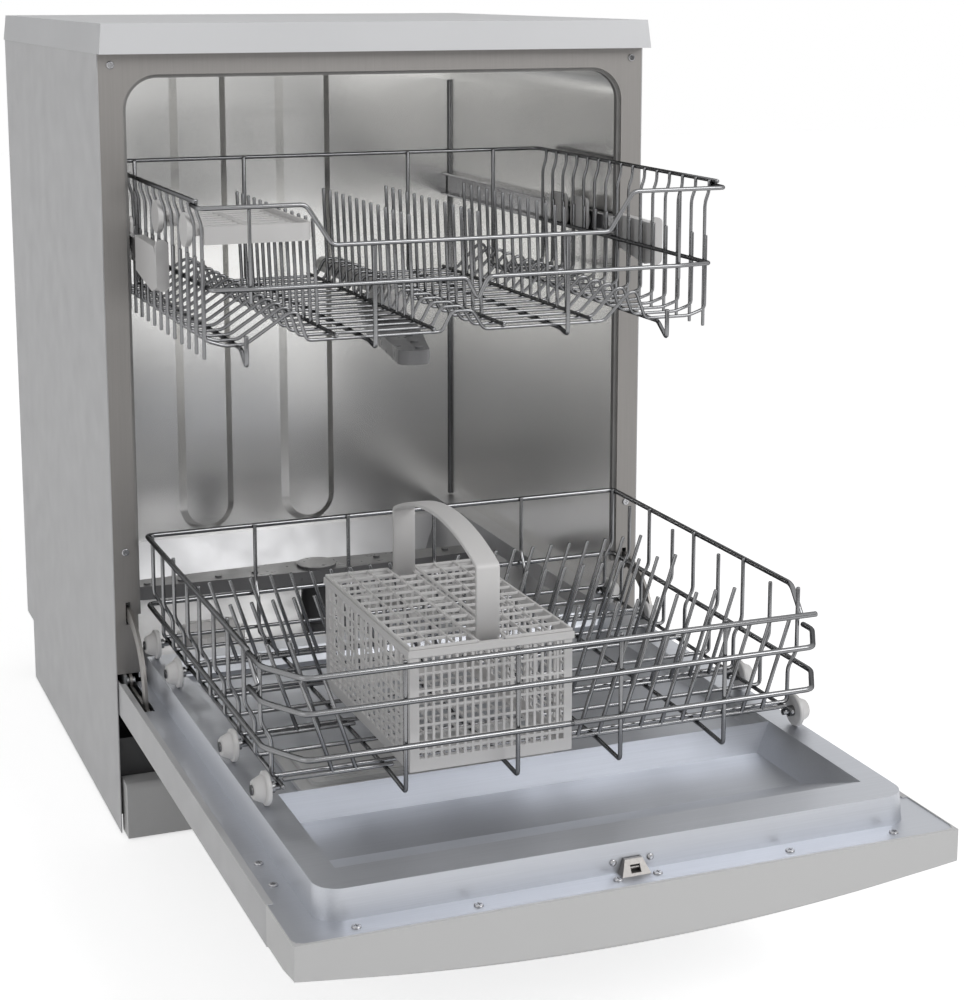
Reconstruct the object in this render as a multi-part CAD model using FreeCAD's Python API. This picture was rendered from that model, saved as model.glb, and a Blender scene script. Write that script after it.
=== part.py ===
"""Free-standing 60 cm dishwasher, door open, lower basket rolled out, upper basket part out.

Millimetres, +Z up. The sections are written with X = 0 in the middle of the machine, Y = 0 at the
cabinet's front plane, +Y to the back and Z = 0 on the floor. put() moves each node to the shared
frame, whose origin is the middle of the floor area that the whole machine covers.
"""
import FreeCAD
import Part
import math
import os

V = FreeCAD.Vector

# Driving sizes of the machine
WIDTH = 600.0
HEIGHT = 850.0
DEPTH = 580.0
SHEET = 1.0
TOP_THICK = 30.0
TOP_OVERHANG = 19.5
HINGE_Z = 170.0
DOOR_LENGTH = 642.0
CONSOLE_BULGE = 23.0
GAP = 0.3

HALF = WIDTH / 2
PANEL_TOP = HEIGHT - TOP_THICK
REAR = DEPTH + 1
FRONT = -(DOOR_LENGTH + CONSOLE_BULGE)
SHIFT = V(0, -(REAR + FRONT) / 2, 0)
OUT = "parts"
SIDES = (("left", -1), ("right", 1))


def put(name, shape):
    """Moves a finished node into the shared frame and writes it."""
    placed = shape.copy()
    placed.translate(SHIFT)
    placed.exportStep(os.path.join(OUT, name + ".step"))


def box(x0, x1, y0, y1, z0, z1):
    """A box between two X, two Y and two Z values, in either order."""
    low = V(min(x0, x1), min(y0, y1), min(z0, z1))
    return Part.makeBox(abs(x1 - x0), abs(y1 - y0), abs(z1 - z0), low)


def rod(start, end, radius):
    """A round bar from one point to another."""
    a, b = V(*start), V(*end)
    return Part.makeCylinder(radius, (b - a).Length, a, b - a)


def prism(points, axis, start, end):
    """A flat outline in the two other axes, in X, Y, Z order, drawn out along an axis."""
    lift = {
        "x": lambda p: V(start, p[0], p[1]),
        "y": lambda p: V(p[0], start, p[1]),
        "z": lambda p: V(p[0], p[1], start),
    }[axis]
    way = {"x": V(1, 0, 0), "y": V(0, 1, 0), "z": V(0, 0, 1)}[axis]
    face = Part.Face(Part.makePolygon([lift(p) for p in points] + [lift(points[0])]))
    return face.extrude(way * (end - start))


def rectangle(x0, x1, y0, y1, z):
    """A level rectangular wire."""
    ring = [V(x0, y0, z), V(x1, y0, z), V(x1, y1, z), V(x0, y1, z)]
    return Part.makePolygon(ring + ring[:1])


def tapered(low, high):
    """A solid between two level rectangles, each given as x0, x1, y0, y1, z."""
    return Part.makeLoft([rectangle(*low), rectangle(*high)], True, True)


def rounded(shape, radius, test):
    """Fillets the edges whose middle and direction pass a test."""
    edges = []
    for edge in shape.Edges:
        ends = [v.Point for v in edge.Vertexes]
        if len(ends) == 2 and test((ends[0] + ends[1]) * 0.5, ends[1] - ends[0]):
            edges.append(edge)
    return shape.makeFillet(radius, edges)


def along(way, axis):
    """True if a direction runs along one axis."""
    parts = {"x": way.x, "y": way.y, "z": way.z}
    return abs(parts[axis]) > 0.99 * way.Length


def wire(points, radius, bend=0.0):
    """A bent round wire through corner points. A bend of 0 leaves mitred corners."""
    corners = [V(*p) for p in points]
    edges = []
    last = corners[0]
    for before, here, after in zip(corners, corners[1:], corners[2:]):
        back = (before - here).normalize()
        on = (after - here).normalize()
        half = back.getAngle(on) / 2
        if bend and half < 1.55:
            run = bend / math.tan(half)
            inner = here + (back + on).normalize() * (bend / math.sin(half))
            middle = inner + (here - inner).normalize() * bend
            start, end = here + back * run, here + on * run
            edges.append(Part.makeLine(last, start))
            edges.append(Part.Arc(start, middle, end).toShape())
            last = end
        else:
            edges.append(Part.makeLine(last, here))
            last = here
    edges.append(Part.makeLine(last, corners[-1]))
    ring = Part.Wire(Part.makeCircle(radius, corners[0], corners[1] - corners[0]))
    return Part.Wire(edges).makePipeShell([ring], True, True, 0 if bend else 1)


def joined(shapes):
    """One shape from many that touch or overlap."""
    shapes = list(shapes)
    return shapes[0].multiFuse(shapes[1:]).removeSplitter()


def mirrored(shape):
    """The same piece on the machine's other side."""
    return shape.mirror(V(0, 0, 0), V(1, 0, 0))


def windows(spans_a, spans_b, axis, start, end):
    """A compound of square holes through a wall, from two lists of spans across it."""
    holes = []
    for a0, a1 in spans_a:
        for b0, b1 in spans_b:
            if axis == "x":
                holes.append(box(start, end, a0, a1, b0, b1))
            elif axis == "y":
                holes.append(box(a0, a1, start, end, b0, b1))
            else:
                holes.append(box(a0, a1, b0, b1, start, end))
    return Part.makeCompound(holes)


def spans(low, high, count, bar):
    """Equal openings between two edges, with a bar between neighbours."""
    size = (high - low - bar * (count - 1)) / count
    return [(low + i * (size + bar), low + i * (size + bar) + size) for i in range(count)]


os.makedirs(OUT, exist_ok=True)

# Worktop: laminated board with edges that slope in a little to the top
TOP_SIDE = HALF + 1
TOP_SLOPE = 3.0
put("worktop", tapered(
    (-TOP_SIDE, TOP_SIDE, -TOP_OVERHANG, REAR, PANEL_TOP),
    (-TOP_SIDE + TOP_SLOPE, TOP_SIDE - TOP_SLOPE, -TOP_OVERHANG + TOP_SLOPE, REAR - TOP_SLOPE, HEIGHT),
))

# Side panels: painted sheet with a fold behind the front frame and a skirting notch at the back
PANEL_LOW = 3.0
NOTCH_Z = 79.0
NOTCH_Y = DEPTH - 46
FRAME_THICK = 1.5
FRAME_LOW = 178.0
FOLD_IN = HALF - 18
ARM_X = HALF - 14.5
SLOT_HALF = 2.5
SLOT_LOW, SLOT_HIGH = 231.0, 255.0
SCREW_X = HALF - 13.5
SCREW_LEVELS = (309.0, PANEL_TOP - 11)
SCREW_R = 1.95
BACK = DEPTH - SHEET


def side_panel(side):
    """One side panel with its slot for the hinge arm and holes for the frame screws."""
    outline = [(0, PANEL_LOW), (0, PANEL_TOP), (BACK, PANEL_TOP), (BACK, NOTCH_Z), (NOTCH_Y, NOTCH_Z),
               (NOTCH_Y, PANEL_LOW)]
    sheet = prism(outline, "x", side * HALF, side * (HALF - SHEET))
    fold = box(side * HALF, side * FOLD_IN, FRAME_THICK, FRAME_THICK + SHEET, FRAME_LOW, PANEL_TOP)
    slot = box(side * (ARM_X - SLOT_HALF), side * (ARM_X + SLOT_HALF), 0, 5, SLOT_LOW, SLOT_HIGH)
    holes = [rod((side * SCREW_X, -1, z), (side * SCREW_X, 6, z), SCREW_R) for z in SCREW_LEVELS]
    return joined([sheet, fold]).cut([slot] + holes)


for side_name, side in SIDES:
    put("side_panel_" + side_name, side_panel(side))

# Rear panel: sheet with three pressed beads, closed above the skirting notch
BEAD_R = 9.0
BEAD_RISE = 4.0
BEAD_X = (-160, 0, 160)
BEAD_Y = BACK - BEAD_RISE + BEAD_R
BEAD_LOW, BEAD_HIGH = 150.0, PANEL_TOP - 60
rear_edge = HALF - SHEET
rear = box(-rear_edge, rear_edge, BACK, DEPTH, NOTCH_Z, PANEL_TOP)
inner_side = box(-HALF, HALF, BACK - 10, BACK, 0, HEIGHT)
beads = [rod((x, BEAD_Y, BEAD_LOW), (x, BEAD_Y, BEAD_HIGH), BEAD_R) for x in BEAD_X]
shell_low, shell_high = BEAD_LOW - SHEET, BEAD_HIGH + SHEET
shells = [rod((x, BEAD_Y, shell_low), (x, BEAD_Y, shell_high), BEAD_R + SHEET).common(inner_side)
          for x in BEAD_X]
put("rear_panel", joined([rear] + shells).cut(beads))

# Base tray: moulded tray under the tub that carries the feet, the pump and the weight
BASE_FRONT, BASE_REAR = 10.0, DEPTH - 48
BASE_LOW, BASE_TOP = 20.0, 76.0
BASE_WALL = 3.0
BASE_FLOOR = 4.0
KICK_TOP = 104.0
base_x = HALF - SHEET
base_in = BASE_LOW + BASE_FLOOR
tray_in = base_x - BASE_WALL
tray = box(-base_x, base_x, BASE_FRONT, BASE_REAR, BASE_LOW, BASE_TOP).cut(
    box(-tray_in, tray_in, BASE_FRONT + BASE_WALL, BASE_REAR - BASE_WALL, base_in, BASE_TOP)
)
kick = box(-base_x, base_x, BASE_FRONT, BASE_FRONT + BASE_WALL, BASE_TOP, KICK_TOP)
VALVE_X, VALVE_Z = -HALF + 80, 52.0
THREAD_R = 13.2
VALVE_COLLAR = THREAD_R + 1
valve_hole = rod((VALVE_X, BASE_REAR - 10, VALVE_Z), (VALVE_X, BASE_REAR + 1, VALVE_Z), VALVE_COLLAR)
put("base_tray", joined([tray, kick]).cut(valve_hole))

# Feet: four screw feet with round pads
FOOT_R = 18.0
FOOT_PAD = 6.0
STEM_R = 6.0
FOOT_X = HALF - 35
FOOT_Y = (45.0, BASE_REAR - 32)
feet = []
for foot_x in (-FOOT_X, FOOT_X):
    for foot_y in FOOT_Y:
        pad = Part.makeCone(FOOT_R, FOOT_R - 3, FOOT_PAD, V(foot_x, foot_y, 0))
        stem = rod((foot_x, foot_y, FOOT_PAD), (foot_x, foot_y, BASE_LOW), STEM_R)
        feet.append(joined([pad, stem]))
put("feet", Part.makeCompound(feet))

# Plinth: moulded kick plate in front of the base, with a rounded upper edge
PLINTH_X = HALF - 4
PLINTH_FRONT = -18.0
PLINTH_TOP = 62.0
PLINTH_WALL = 3.0
plinth = box(-PLINTH_X, PLINTH_X, PLINTH_FRONT, BASE_FRONT, PANEL_LOW, PLINTH_TOP)
plinth = rounded(plinth, 7, lambda m, w: along(w, "x") and m.y < 0 and m.z > 10)
plinth_in = PLINTH_X - PLINTH_WALL
plinth = plinth.cut(box(-plinth_in, plinth_in, PLINTH_FRONT + PLINTH_WALL, BASE_FRONT,
                        PANEL_LOW - 1, PLINTH_TOP - PLINTH_WALL))
put("plinth", plinth)

# Tub wrap: side walls and roof of polished steel, one bent sheet with round upper corners
TUB_X = HALF - 25
TUB_TOP = PANEL_TOP - 21
TUB_REAR = DEPTH - 52
TUB_LOW = 172.0
TUB_ROUND = 36.0


def tub_block(grow, y0, y1, low):
    """The tub's inside as a solid with round upper corners, grown by a sheet or more."""
    block = box(-TUB_X - grow, TUB_X + grow, y0, y1, low, TUB_TOP + grow)
    return rounded(block, TUB_ROUND + grow, lambda m, w: along(w, "y") and m.z > TUB_TOP - 50)


wrap = tub_block(SHEET, FRAME_THICK, TUB_REAR, TUB_LOW).cut(tub_block(0, 0, TUB_REAR + 1, TUB_LOW - 1))
put("tub_wrap", wrap)

# Tub back: sheet with two long pressed strips that end round at the bottom
STRIP_X = 69.5
STRIP_HALF = 36.5
STRIP_LOW = 178.0
STRIP_RISE = 6.0
STRIP_BEVEL = 9.0


def slot_wire(x, half, low, high, y):
    """An upright slot outline with a round lower end."""
    radius = half
    left, right = V(x - half, y, low + radius), V(x + half, y, low + radius)
    arc = Part.Arc(left, V(x, y, low), right).toShape()
    up = [right, V(x + half, y, high), V(x - half, y, high), left]
    return Part.Wire([arc] + [Part.makeLine(a, b) for a, b in zip(up, up[1:])])


def strip(x, y, high):
    """One pressed strip: wide at the wall, narrower at its flat face."""
    wide = slot_wire(x, STRIP_HALF, STRIP_LOW, high, y)
    narrow = slot_wire(x, STRIP_HALF - STRIP_BEVEL, STRIP_LOW + STRIP_BEVEL, high, y - STRIP_RISE)
    return Part.makeLoft([wide, narrow], True, True)


STRIP_HIGH = TUB_TOP - 2
tub_back = tub_block(SHEET, TUB_REAR, TUB_REAR + SHEET, TUB_LOW)
for strip_x in (-STRIP_X, STRIP_X):
    raised = strip(strip_x, TUB_REAR, STRIP_HIGH)
    hollow = strip(strip_x, TUB_REAR + SHEET, STRIP_HIGH - SHEET)
    tub_back = tub_back.fuse(raised).cut(hollow)
put("tub_back", tub_back.removeSplitter())

# Tub floor: pressed pan with a ledge on each side that the lower wheels run on
LEDGE_Z = 195.0
LEDGE_X = TUB_X - 25
LEDGE_FRONT = 28.0
SILL_Z = TUB_LOW + SHEET
PAN_Z = 125.0
PAN_TOP = (-LEDGE_X, LEDGE_X, 70.0, TUB_REAR - 8, SILL_Z)
PAN_LOW = (-LEDGE_X + 25, LEDGE_X - 25, 92.0, TUB_REAR - 30, PAN_Z)
SPRAY_Y = TUB_REAR / 2 + 1
POST_HOLE_R = 20.0
FILTER_X, FILTER_Y = 92.0, SPRAY_Y - 30
FILTER_HOLE_R = 56.0


def grown(rect, by, drop):
    """A level rectangle made larger all round and lowered."""
    x0, x1, y0, y1, z = rect
    return (x0 - by, x1 + by, y0 - by, y1 + by, z - drop)


pan_out = tapered(grown(PAN_LOW, SHEET, SHEET), grown(PAN_TOP, SHEET, 0))
pan_in = tapered(PAN_LOW, PAN_TOP)
plate = box(-TUB_X, TUB_X, FRAME_THICK, TUB_REAR, TUB_LOW, SILL_Z)
ledges = []
for side_name, side in SIDES:
    inner, web, outer = side * LEDGE_X, side * (LEDGE_X + SHEET), side * TUB_X
    ledges.append(box(inner, outer, LEDGE_FRONT, TUB_REAR, LEDGE_Z - SHEET, LEDGE_Z))
    ledges.append(box(inner, web, LEDGE_FRONT, TUB_REAR, SILL_Z - SHEET, LEDGE_Z))
    ledges.append(box(inner, outer, LEDGE_FRONT, LEDGE_FRONT + SHEET, SILL_Z - SHEET, LEDGE_Z))
post_hole = rod((0, SPRAY_Y, 100), (0, SPRAY_Y, 150), POST_HOLE_R)
filter_hole = rod((FILTER_X, FILTER_Y, 100), (FILTER_X, FILTER_Y, 150), FILTER_HOLE_R)
put("tub_floor", joined([pan_out, plate] + ledges).cut([pan_in, post_hole, filter_hole]).removeSplitter())

# Front frame: dull steel surround of the tub opening, with the hinge slots and screw holes
FRAME_X = HALF - SHEET
frame = box(-FRAME_X, FRAME_X, 0, FRAME_THICK, FRAME_LOW, PANEL_TOP)
opening = tub_block(0, -1, 5, FRAME_LOW - 1)
frame_cuts = [opening]
for side_name, side in SIDES:
    frame_cuts.append(box(side * (ARM_X - SLOT_HALF), side * (ARM_X + SLOT_HALF), -1, 5, SLOT_LOW, SLOT_HIGH))
    for z in SCREW_LEVELS:
        frame_cuts.append(rod((side * SCREW_X, -1, z), (side * SCREW_X, 6, z), SCREW_R))
put("front_frame", frame.cut(frame_cuts))

# Frame screws: four alike, through the frame into the side panels' folds
HEAD_R = 4.0
HEAD_HIGH = 1.6


def screw(point, way, length):
    """A round-head screw. The head stands on the surface and a cross is cut in it."""
    head = Part.makeCylinder(HEAD_R, HEAD_HIGH, point, way)
    head = head.makeFillet(1.0, [e for e in head.Edges if e.Closed and (e.CenterOfMass - point).Length > 1])
    shank = Part.makeCylinder(SCREW_R - 0.05, length, point, way * -1)
    across = Part.makeBox(1.0, 4.6, 1.2, V(-0.5, -2.3, 0))
    cross = across.fuse(Part.makeBox(4.6, 1.0, 1.2, V(-2.3, -0.5, 0)))
    cross.Placement = FreeCAD.Placement(point + way * (HEAD_HIGH - 0.9), FreeCAD.Rotation(V(0, 0, 1), way))
    return head.fuse(shank).cut(cross)


put("frame_screws", Part.makeCompound([
    screw(V(side * SCREW_X, 0, z), V(0, -1, 0), 5) for side in (-1, 1) for z in SCREW_LEVELS
]))

# Door seal: soft strip round the inside of the opening
SEAL_HIGH = 3.5
SEAL_FRONT, SEAL_REAR = 4.0, 11.0
SEAL_LOW = 240.0
seal = tub_block(0, SEAL_FRONT, SEAL_REAR, SEAL_LOW).cut(
    tub_block(-SEAL_HIGH, SEAL_FRONT - 1, SEAL_REAR + 1, SEAL_LOW - 1))
put("door_seal", seal)

# Hinge brackets: steel plates inside the side panels with the pivot pins of the door
BRACKET_IN, BRACKET_OUT = HALF - 10, HALF - 7
PIN_R = 4.0
PIN_IN = HALF - 19


def hinge_bracket(side):
    """A plate from the pivot back and down to a foot on the side panel."""
    outline = [(-7, 162), (-7, FRAME_LOW - GAP), (95, FRAME_LOW - GAP), (95, 82), (62, 82), (62, 162)]
    sheet = prism(outline, "x", side * BRACKET_IN, side * BRACKET_OUT)
    foot = box(side * BRACKET_OUT, side * (HALF - SHEET), 62, 95, 82, 120)
    pin = rod((side * BRACKET_IN, 0, HINGE_Z), (side * PIN_IN, 0, HINGE_Z), PIN_R)
    return joined([sheet, foot, pin])


put("hinge_brackets", Part.makeCompound([hinge_bracket(side) for name, side in SIDES]))

# Sump: moulded cup under the tub floor with the post of the lower spray arm
SUMP_LOW = 60.0
SUMP_TOP = PAN_Z - SHEET
POST_R = 19.0
POST_TOP = 175.0
SPIGOT_R = 8.0
SUMP_WALL = 6.0
SUMP_FOOT = (-26.0, 128.0, SPRAY_Y - 75, SPRAY_Y + 35, SUMP_LOW)
SUMP_MOUTH = (-44.0, 152.0, SPRAY_Y - 93, SPRAY_Y + 59, SUMP_TOP)
sump = tapered(SUMP_FOOT, SUMP_MOUTH)
sump = sump.cut(tapered(grown(SUMP_FOOT, -SUMP_WALL, -3), grown(SUMP_MOUTH, -SUMP_WALL, 4)))
FILTER_SEAT_R = FILTER_HOLE_R - 4
sump = sump.cut(rod((FILTER_X, FILTER_Y, SUMP_TOP - 10), (FILTER_X, FILTER_Y, SUMP_TOP + 1), FILTER_SEAT_R))
post = rod((0, SPRAY_Y, SUMP_TOP - 4), (0, SPRAY_Y, POST_TOP), POST_R)
spigot = rod((0, SPRAY_Y, POST_TOP), (0, SPRAY_Y, POST_TOP + 16), SPIGOT_R)
put("sump", joined([sump, post, spigot]))

# Filter: fine cup with a grip, standing in the sump
FILTER_R = FILTER_SEAT_R - GAP
CUP_R = FILTER_R - 24
CUP_WALL = 3.0
filter_cup = joined([
    rod((FILTER_X, FILTER_Y, SUMP_LOW + 12), (FILTER_X, FILTER_Y, SUMP_TOP), CUP_R),
    rod((FILTER_X, FILTER_Y, PAN_Z + GAP), (FILTER_X, FILTER_Y, PAN_Z + 4), FILTER_HOLE_R + 2),
    rod((FILTER_X, FILTER_Y, SUMP_TOP - 1), (FILTER_X, FILTER_Y, PAN_Z + 1), FILTER_R - 1),
    rod((FILTER_X, FILTER_Y, PAN_Z + 4), (FILTER_X, FILTER_Y, PAN_Z + 16), 30),
    box(FILTER_X - 4, FILTER_X + 4, FILTER_Y - 24, FILTER_Y + 24, PAN_Z + 16, PAN_Z + 26),
])
filter_inside = rod((FILTER_X, FILTER_Y, SUMP_LOW + 12 + CUP_WALL), (FILTER_X, FILTER_Y, PAN_Z - 2),
                    CUP_R - CUP_WALL)
put("filter_cup", filter_cup.cut(filter_inside))

# Salt cap: screw cap of the softener on the tub floor, with six grip ribs
SALT_X, SALT_Y = -140.0, SPRAY_Y - 30
SALT_R = 36.0
grips = [rod((SALT_X + SALT_R * math.cos(a), SALT_Y + SALT_R * math.sin(a), PAN_Z + GAP),
             (SALT_X + SALT_R * math.cos(a), SALT_Y + SALT_R * math.sin(a), PAN_Z + 14), 5)
         for a in (math.radians(60 * i) for i in range(6))]
salt_cap = joined([rod((SALT_X, SALT_Y, PAN_Z + GAP), (SALT_X, SALT_Y, PAN_Z + 14), SALT_R)] + grips
                  + [box(SALT_X - 28, SALT_X + 28, SALT_Y - 5, SALT_Y + 5, PAN_Z + 14, PAN_Z + 24)])
put("salt_cap", salt_cap)

# Circulation pump: motor and pump housing beside the sump
PUMP_Y, PUMP_Z = SPRAY_Y - 20, 70.0
pump = joined([
    rod((-235, PUMP_Y, PUMP_Z), (-95, PUMP_Y, PUMP_Z), 42),
    rod((-95, PUMP_Y, PUMP_Z), (-70, PUMP_Y, PUMP_Z), 38),
    rod((-70, PUMP_Y, PUMP_Z + 14), (-32, PUMP_Y, PUMP_Z + 14), 18),
    box(-225, -110, PUMP_Y - 30, PUMP_Y + 30, base_in, PUMP_Z - 20),
])
put("circulation_pump", pump.cut(tapered(SUMP_FOOT, SUMP_MOUTH)))

# Inlet valve: threaded spigot for the supply hose at the back of the base
valve = joined([
    rod((VALVE_X, BASE_REAR - BASE_WALL - 1, VALVE_Z), (VALVE_X, BASE_REAR, VALVE_Z), VALVE_COLLAR),
    rod((VALVE_X, BASE_REAR - 1, VALVE_Z), (VALVE_X, BASE_REAR + 14, VALVE_Z), THREAD_R),
    box(VALVE_X - 20, VALVE_X + 20, BASE_REAR - 60, BASE_REAR - BASE_WALL, base_in, VALVE_Z + 20),
])
put("inlet_valve", valve.cut(rod((VALVE_X, BASE_REAR - 10, VALVE_Z), (VALVE_X, BASE_REAR + 20, VALVE_Z), 9)))

# Counterweight: cast block on the tray's back that keeps the open machine from tipping
WEIGHT_X = (-HALF + 130, HALF - 50)
WEIGHT_DEEP = 129.0
weight_rear = BASE_REAR - BASE_WALL
put("counterweight", box(*WEIGHT_X, weight_rear - WEIGHT_DEEP, weight_rear, base_in, 60))


# Spray arms: two moulded blades on a hub, with a row of nozzles on top
def spray_arm(centre, reach, low, high, hub_r, bore, turned=0):
    """Two blades that narrow to the ends, with nozzles along the leading edges."""
    x, y = centre
    root, tip = 26.0, 15.0
    outline = [(x - reach, y - tip), (x, y - root), (x + reach, y - tip), (x + reach, y + tip), (x, y + root),
               (x - reach, y + tip)]
    blade = prism(outline, "z", low, high)
    blade = rounded(blade, 10, lambda m, w: along(w, "z") and abs(m.x - x) > reach - 1)
    hub = rod((x, y, low - 2), (x, y, high + 3), hub_r)
    nozzles = []
    for turn in (1, -1):
        for share in (0.35, 0.55, 0.75, 0.93):
            at = (x + turn * reach * share, y + turn * 6)
            nozzles.append(rod((at[0], at[1], high - 1), (at[0], at[1], high + 2), 4))
    arm = joined([blade, hub] + nozzles).cut(rod((x, y, low - 3), (x, y, bore[1]), bore[0]))
    arm.rotate(V(x, y, 0), V(0, 0, 1), turned)
    return arm


LOWER_BORE = (SPIGOT_R + 0.1, POST_TOP + 17)
put("lower_spray_arm", spray_arm((0, SPRAY_Y), TUB_X - 50, POST_TOP + 3, POST_TOP + 19, 24, LOWER_BORE))

# Rail guides: fixed steel channels on the tub walls that hold the upper basket's rails
RAIL_IN, RAIL_OUT = TUB_X - 12.5, TUB_X - 5
RAIL_LOW, RAIL_HIGH = 613.0, 637.0
RAIL_SHEET = 1.2
GUIDE_FRONT, GUIDE_REAR = 130.0, TUB_REAR - 4


def rail_guide(side):
    """A channel open to the middle of the tub, with rounded outer edges."""
    block = box(side * RAIL_IN, side * TUB_X, GUIDE_FRONT, GUIDE_REAR, RAIL_LOW - 3, RAIL_HIGH + 3)
    block = rounded(block, 2.5, lambda m, w: along(w, "y") and abs(m.x) < RAIL_IN + 1)
    return block.cut(box(side * (RAIL_IN - 1), side * (RAIL_OUT + GAP), GUIDE_FRONT - 1, GUIDE_REAR + 1,
                         RAIL_LOW - GAP, RAIL_HIGH + GAP))


put("rail_guides", Part.makeCompound([rail_guide(side) for name, side in SIDES]))

# Rails and end caps: steel channels that run out of the guides, with a moulded stop on each front end
RAIL_FRONT, RAIL_REAR = -20.0, 290.0
CAP_FRONT = -108.0


def rail(side):
    """A channel open to the basket, which its rollers run in."""
    block = box(side * RAIL_IN, side * RAIL_OUT, RAIL_FRONT, RAIL_REAR, RAIL_LOW, RAIL_HIGH)
    return block.cut(box(side * (RAIL_IN - 1), side * (RAIL_OUT - RAIL_SHEET), RAIL_FRONT - 1, RAIL_REAR + 1,
                         RAIL_LOW + RAIL_SHEET, RAIL_HIGH - RAIL_SHEET))


def rail_cap(side):
    """A stop with a sloping nose and an upright tab."""
    outline = [(RAIL_FRONT, 606), (RAIL_FRONT, 641), (CAP_FRONT + 6, 639), (CAP_FRONT, 632), (CAP_FRONT, 598),
               (CAP_FRONT + 18, 594)]
    nose = prism(outline, "x", side * (RAIL_IN - 1), side * (RAIL_OUT + 1))
    tab = box(side * (RAIL_IN - 4), side * (RAIL_OUT + 1), CAP_FRONT - 5, CAP_FRONT, 596, 646)
    tab = rounded(tab, 6, lambda m, w: along(w, "y"))
    return joined([nose, tab])


for side_name, side in SIDES:
    put("rail_" + side_name, rail(side))
    put("rail_cap_" + side_name, rail_cap(side))

# Door outer panel: painted sheet tray, folded in at its rim
DOOR_X = HALF - 2
DOOR_UNDER = 134.0
DOOR_TAIL = 50.0
CONSOLE_Y = -DOOR_LENGTH + 78
FOLD = 6.0
FOLD_REAR = -8.0
skin = box(-DOOR_X, DOOR_X, CONSOLE_Y, DOOR_TAIL, DOOR_UNDER, DOOR_UNDER + SHEET)
tail = box(-DOOR_X, DOOR_X, DOOR_TAIL - SHEET, DOOR_TAIL, DOOR_UNDER, 150)
door_walls = []
for side_name, side in SIDES:
    door_walls.append(box(side * DOOR_X, side * (DOOR_X - SHEET), CONSOLE_Y, DOOR_TAIL, DOOR_UNDER, HINGE_Z))
    fold_x = side * (DOOR_X - FOLD)
    door_walls.append(box(side * DOOR_X, fold_x, CONSOLE_Y, FOLD_REAR, HINGE_Z - SHEET, HINGE_Z))
put("door_outer_panel", joined([skin, tail] + door_walls))

# Door liner: pressed steel with a raised rim, a plateau for the dispenser and a deep front pan
FLANGE_TOP = HINGE_Z - SHEET
FLANGE_X = DOOR_X - SHEET
FLANGE_FRONT = -DOOR_LENGTH + 3
RIM_TOP = LEDGE_Z
RIM_X = HALF - 32
RIM_FRONT = -DOOR_LENGTH + 32
RIM_REAR = -4.0
RIM_IN_X = RIM_X - 25
RIM_IN_FRONT = RIM_FRONT + 38
RIM_IN_REAR = -30.0
PLATEAU_Z = 181.0
PAN_FLOOR_Z = 167.0
STEP_Y = RIM_FRONT + 200
RIM_CORNER = 22.0
DRAFT = 2.0


def liner_block(grow):
    """The raised rim as a solid with round front corners, grown by a sheet or more."""
    half, front, rear = RIM_X + grow, RIM_FRONT - grow, RIM_REAR + grow
    low = (-half - DRAFT, half + DRAFT, front - DRAFT, rear, FLANGE_TOP - SHEET)
    high = (-half, half, front, rear, RIM_TOP + grow)
    block = tapered(low, high)
    return rounded(block, RIM_CORNER + grow, lambda m, w: abs(w.z) > 10 and m.y < -300)


PLATEAU_X, PLATEAU_REAR = RIM_IN_X - 9, -40.0
PAN_X, PAN_FRONT = RIM_IN_X - 15, RIM_FRONT + 113
plateau_cut = tapered((-PLATEAU_X, PLATEAU_X, STEP_Y, PLATEAU_REAR, PLATEAU_Z),
                      (-RIM_IN_X, RIM_IN_X, STEP_Y, RIM_IN_REAR, RIM_TOP))
pan_cut = tapered((-PAN_X, PAN_X, PAN_FRONT, STEP_Y - 4, PAN_FLOOR_Z),
                  (-RIM_IN_X, RIM_IN_X, RIM_IN_FRONT, STEP_Y, RIM_TOP))
plateau_shell = tapered((-PLATEAU_X - 1, PLATEAU_X + 1, STEP_Y + 1, PLATEAU_REAR + 1, PLATEAU_Z - SHEET),
                        (-RIM_IN_X - 1, RIM_IN_X + 1, STEP_Y + 1, RIM_IN_REAR + 1, RIM_TOP))
pan_shell = tapered((-PAN_X - 1, PAN_X + 1, PAN_FRONT - 1, STEP_Y - 3, PAN_FLOOR_Z - SHEET),
                    (-RIM_IN_X - 1, RIM_IN_X + 1, RIM_IN_FRONT - 1, STEP_Y + 1, RIM_TOP))
FLANGE_CORNER = 10.0


def flange_plate(low, high):
    """The flange's plan with round front corners, between two levels."""
    sheet = box(-FLANGE_X, FLANGE_X, FLANGE_FRONT, -3, low, high)
    return rounded(sheet, FLANGE_CORNER, lambda m, w: along(w, "z") and m.y < FLANGE_FRONT + 1)


flange = flange_plate(FLANGE_TOP - SHEET, FLANGE_TOP)
arm_slots = [box(side * PIN_IN, side * (HALF - 5), -96, 0, 150, 180) for name, side in SIDES]
inside = liner_block(-SHEET).cut([plateau_shell, pan_shell])
inside = inside.common(box(-HALF, HALF, FRONT, 0, FLANGE_TOP - 3 * SHEET, RIM_TOP - SHEET))
liner = joined([flange, liner_block(0), pan_shell]).cut([inside, plateau_cut, pan_cut] + arm_slots)
EDGE_SCREW_X = (57 - HALF, -141.0, 141.0, HALF - 57)
SIDE_SCREW_X = (18 - HALF, HALF - 18)
DOOR_SCREWS = [(x, -DOOR_LENGTH + 16) for x in EDGE_SCREW_X]
DOOR_SCREWS += [(x, -DOOR_LENGTH + 18) for x in (-18.0, 18.0)]
DOOR_SCREWS += [(x, -DOOR_LENGTH + y) for x in SIDE_SCREW_X for y in (156, 112)]
liner = liner.cut([rod((x, y, FLANGE_TOP - 5), (x, y, FLANGE_TOP + 1), SCREW_R) for x, y in DOOR_SCREWS])
put("door_liner", liner)

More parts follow.
